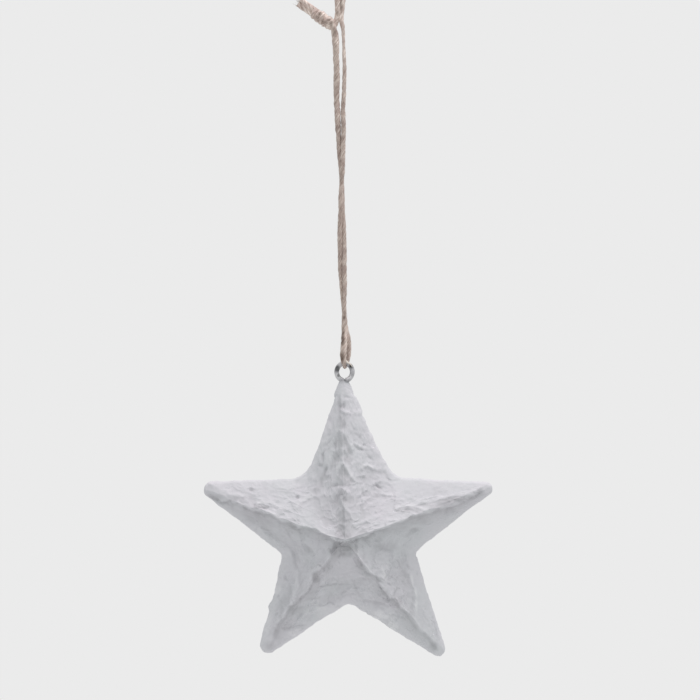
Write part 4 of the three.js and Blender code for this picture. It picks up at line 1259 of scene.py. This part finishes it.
def foot_paste():
    """Paste and paint lumped over the eye's foot: oval rings whose half width and half depth follow a few heights."""
    levels, half_widths, half_depths = np.array(PASTE_SECTIONS)[::-1].T
    heights = np.linspace(levels[0], levels[-1], 70)
    angle = np.linspace(0.0, 2 * math.pi, 72, endpoint=False)
    wide = np.interp(heights, levels, half_widths)[:, None]
    deep = np.interp(heights, levels, half_depths)[:, None]
    rings = np.stack([
        PASTE_LEAN + wide * np.cos(angle), deep * np.sin(angle), np.broadcast_to(heights[:, None], (70, 72)),
    ], axis=-1)
    lumps = 0.16 * rough_noise(rings, 1.6, 3, 8.0)
    outward = np.stack([np.cos(angle), np.sin(angle), 0 * angle], axis=-1)[None]
    rings = rings + outward * lumps[..., None]
    low = np.array([PASTE_LEAN, 0.0, heights[0]])
    high = np.array([PASTE_LEAN, 0.0, heights[-1]])
    piece = closed_rings("foot_paste", rings * MM, PAPER, low * MM, high * MM)
    # Painted shade: the paste is darker over its top, where it wraps the wire.
    set_shade(piece, 0.20 * smooth((rings[..., 2] + 148.4) / 1.2))
    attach(piece, "star")
    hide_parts("eye_collar")


# Hidden parts


def finish_hidden_parts():
    """Materials for the card halves, their tape and the plug."""
    card = raw_card()
    looks = {"front_card_form": card, "back_card_form": card, "seam_tape": gummed_tape(), "eye_plug": pale_wood()}
    for node, material in looks.items():
        for entry in bpy.data.objects[node].material_slots:
            entry.material = material


# Studio


def studio_world():
    """Even pale light from all round; what the camera, gloss and glass see of it is the plain background."""
    world = bpy.data.worlds.new("studio")
    bpy.context.scene.world = world
    world.use_nodes = True
    nodes, links = world.node_tree.nodes, world.node_tree.links
    shown = nodes.new("ShaderNodeBackground")
    shown.inputs["Color"].default_value = (BACKGROUND_GREY, BACKGROUND_GREY, BACKGROUND_GREY, 1)
    light = nodes["Background"]
    light.inputs["Color"].default_value = (0.97, 1.0, 1.0, 1)
    light.inputs["Strength"].default_value = SKY_STRENGTH
    path = nodes.new("ShaderNodeLightPath")
    seen = nodes.new("ShaderNodeMath")
    seen.operation = "MAXIMUM"
    links.new(path.outputs["Is Camera Ray"], seen.inputs[0])
    links.new(path.outputs["Is Glossy Ray"], seen.inputs[1])
    seen_too = nodes.new("ShaderNodeMath")
    seen_too.operation = "MAXIMUM"
    links.new(seen.outputs["Value"], seen_too.inputs[0])
    links.new(path.outputs["Is Transmission Ray"], seen_too.inputs[1])
    mix = nodes.new("ShaderNodeMixShader")
    links.new(seen_too.outputs["Value"], mix.inputs["Fac"])
    links.new(light.outputs["Background"], mix.inputs[1])
    links.new(shown.outputs["Background"], mix.inputs[2])
    links.new(mix.outputs["Shader"], nodes["World Output"].inputs["Surface"])


def studio_floor():
    """A round pale floor below the picture, which fades into the background at its edge."""
    angle = np.linspace(0.0, 2 * math.pi, 96, endpoint=False)
    rim = np.stack([FLOOR_HALF * np.cos(angle), FLOOR_HALF * np.sin(angle), np.full(96, -FLOOR_DEPTH)], axis=1)
    mesh = bpy.data.meshes.new("studio_floor")
    mesh.from_pydata(rim.tolist(), [], [list(range(96))])
    floor = bpy.data.objects.new("studio_floor", mesh)
    bpy.context.collection.objects.link(floor)
    material, nodes, links, shader = new_material("pale floor")
    shader.inputs["Base Color"].default_value = (0.82, 0.82, 0.82, 1)
    shader.inputs["Roughness"].default_value = 0.9
    mesh.materials.append(material)
    gradient = nodes.new("ShaderNodeVectorMath")
    gradient.operation = "LENGTH"
    links.new(object_place(nodes), gradient.inputs[0])
    fade = nodes.new("ShaderNodeMapRange")
    fade.interpolation_type = "SMOOTHSTEP"
    fade.inputs["From Min"].default_value = 0.40
    fade.inputs["From Max"].default_value = 0.80
    links.new(gradient.outputs["Value"], fade.inputs["Value"])
    clear = nodes.new("ShaderNodeBsdfTransparent")
    mix = nodes.new("ShaderNodeMixShader")
    links.new(fade.outputs["Result"], mix.inputs["Fac"])
    links.new(shader.outputs["BSDF"], mix.inputs[1])
    links.new(clear.outputs["BSDF"], mix.inputs[2])
    links.new(mix.outputs["Shader"], nodes["Material Output"].inputs["Surface"])


def soft_lamp(name, place, aim, size, power, colour):
    """A square lamp at a place, turned to its aim."""
    data = bpy.data.lights.new(name, "AREA")
    data.size = size
    data.energy = power
    data.color = colour
    lamp = bpy.data.objects.new(name, data)
    bpy.context.collection.objects.link(lamp)
    way = np.array(aim) - np.array(place)
    lamp.location = place
    lamp.rotation_euler = (
        math.acos(-way[2] / np.linalg.norm(way)), 0.0, math.atan2(way[1], way[0]) - math.pi / 2,
    )


set_camera()
lay_twine()
paper_half("front_paper", -1, "front_paper_skin")
paper_half("back_paper", 1, "back_paper_skin")
wire_eye()
foot_paste()
finish_hidden_parts()
studio_world()
studio_floor()
STAR_MIDDLE = (0.0, 0.0, -0.2)
soft_lamp("upper softbox", (0.22, -0.10, 0.82), STAR_MIDDLE, 0.6, 5.6, (1.0, 0.91, 0.95))
bpy.context.scene.view_settings.view_transform = "Standard"
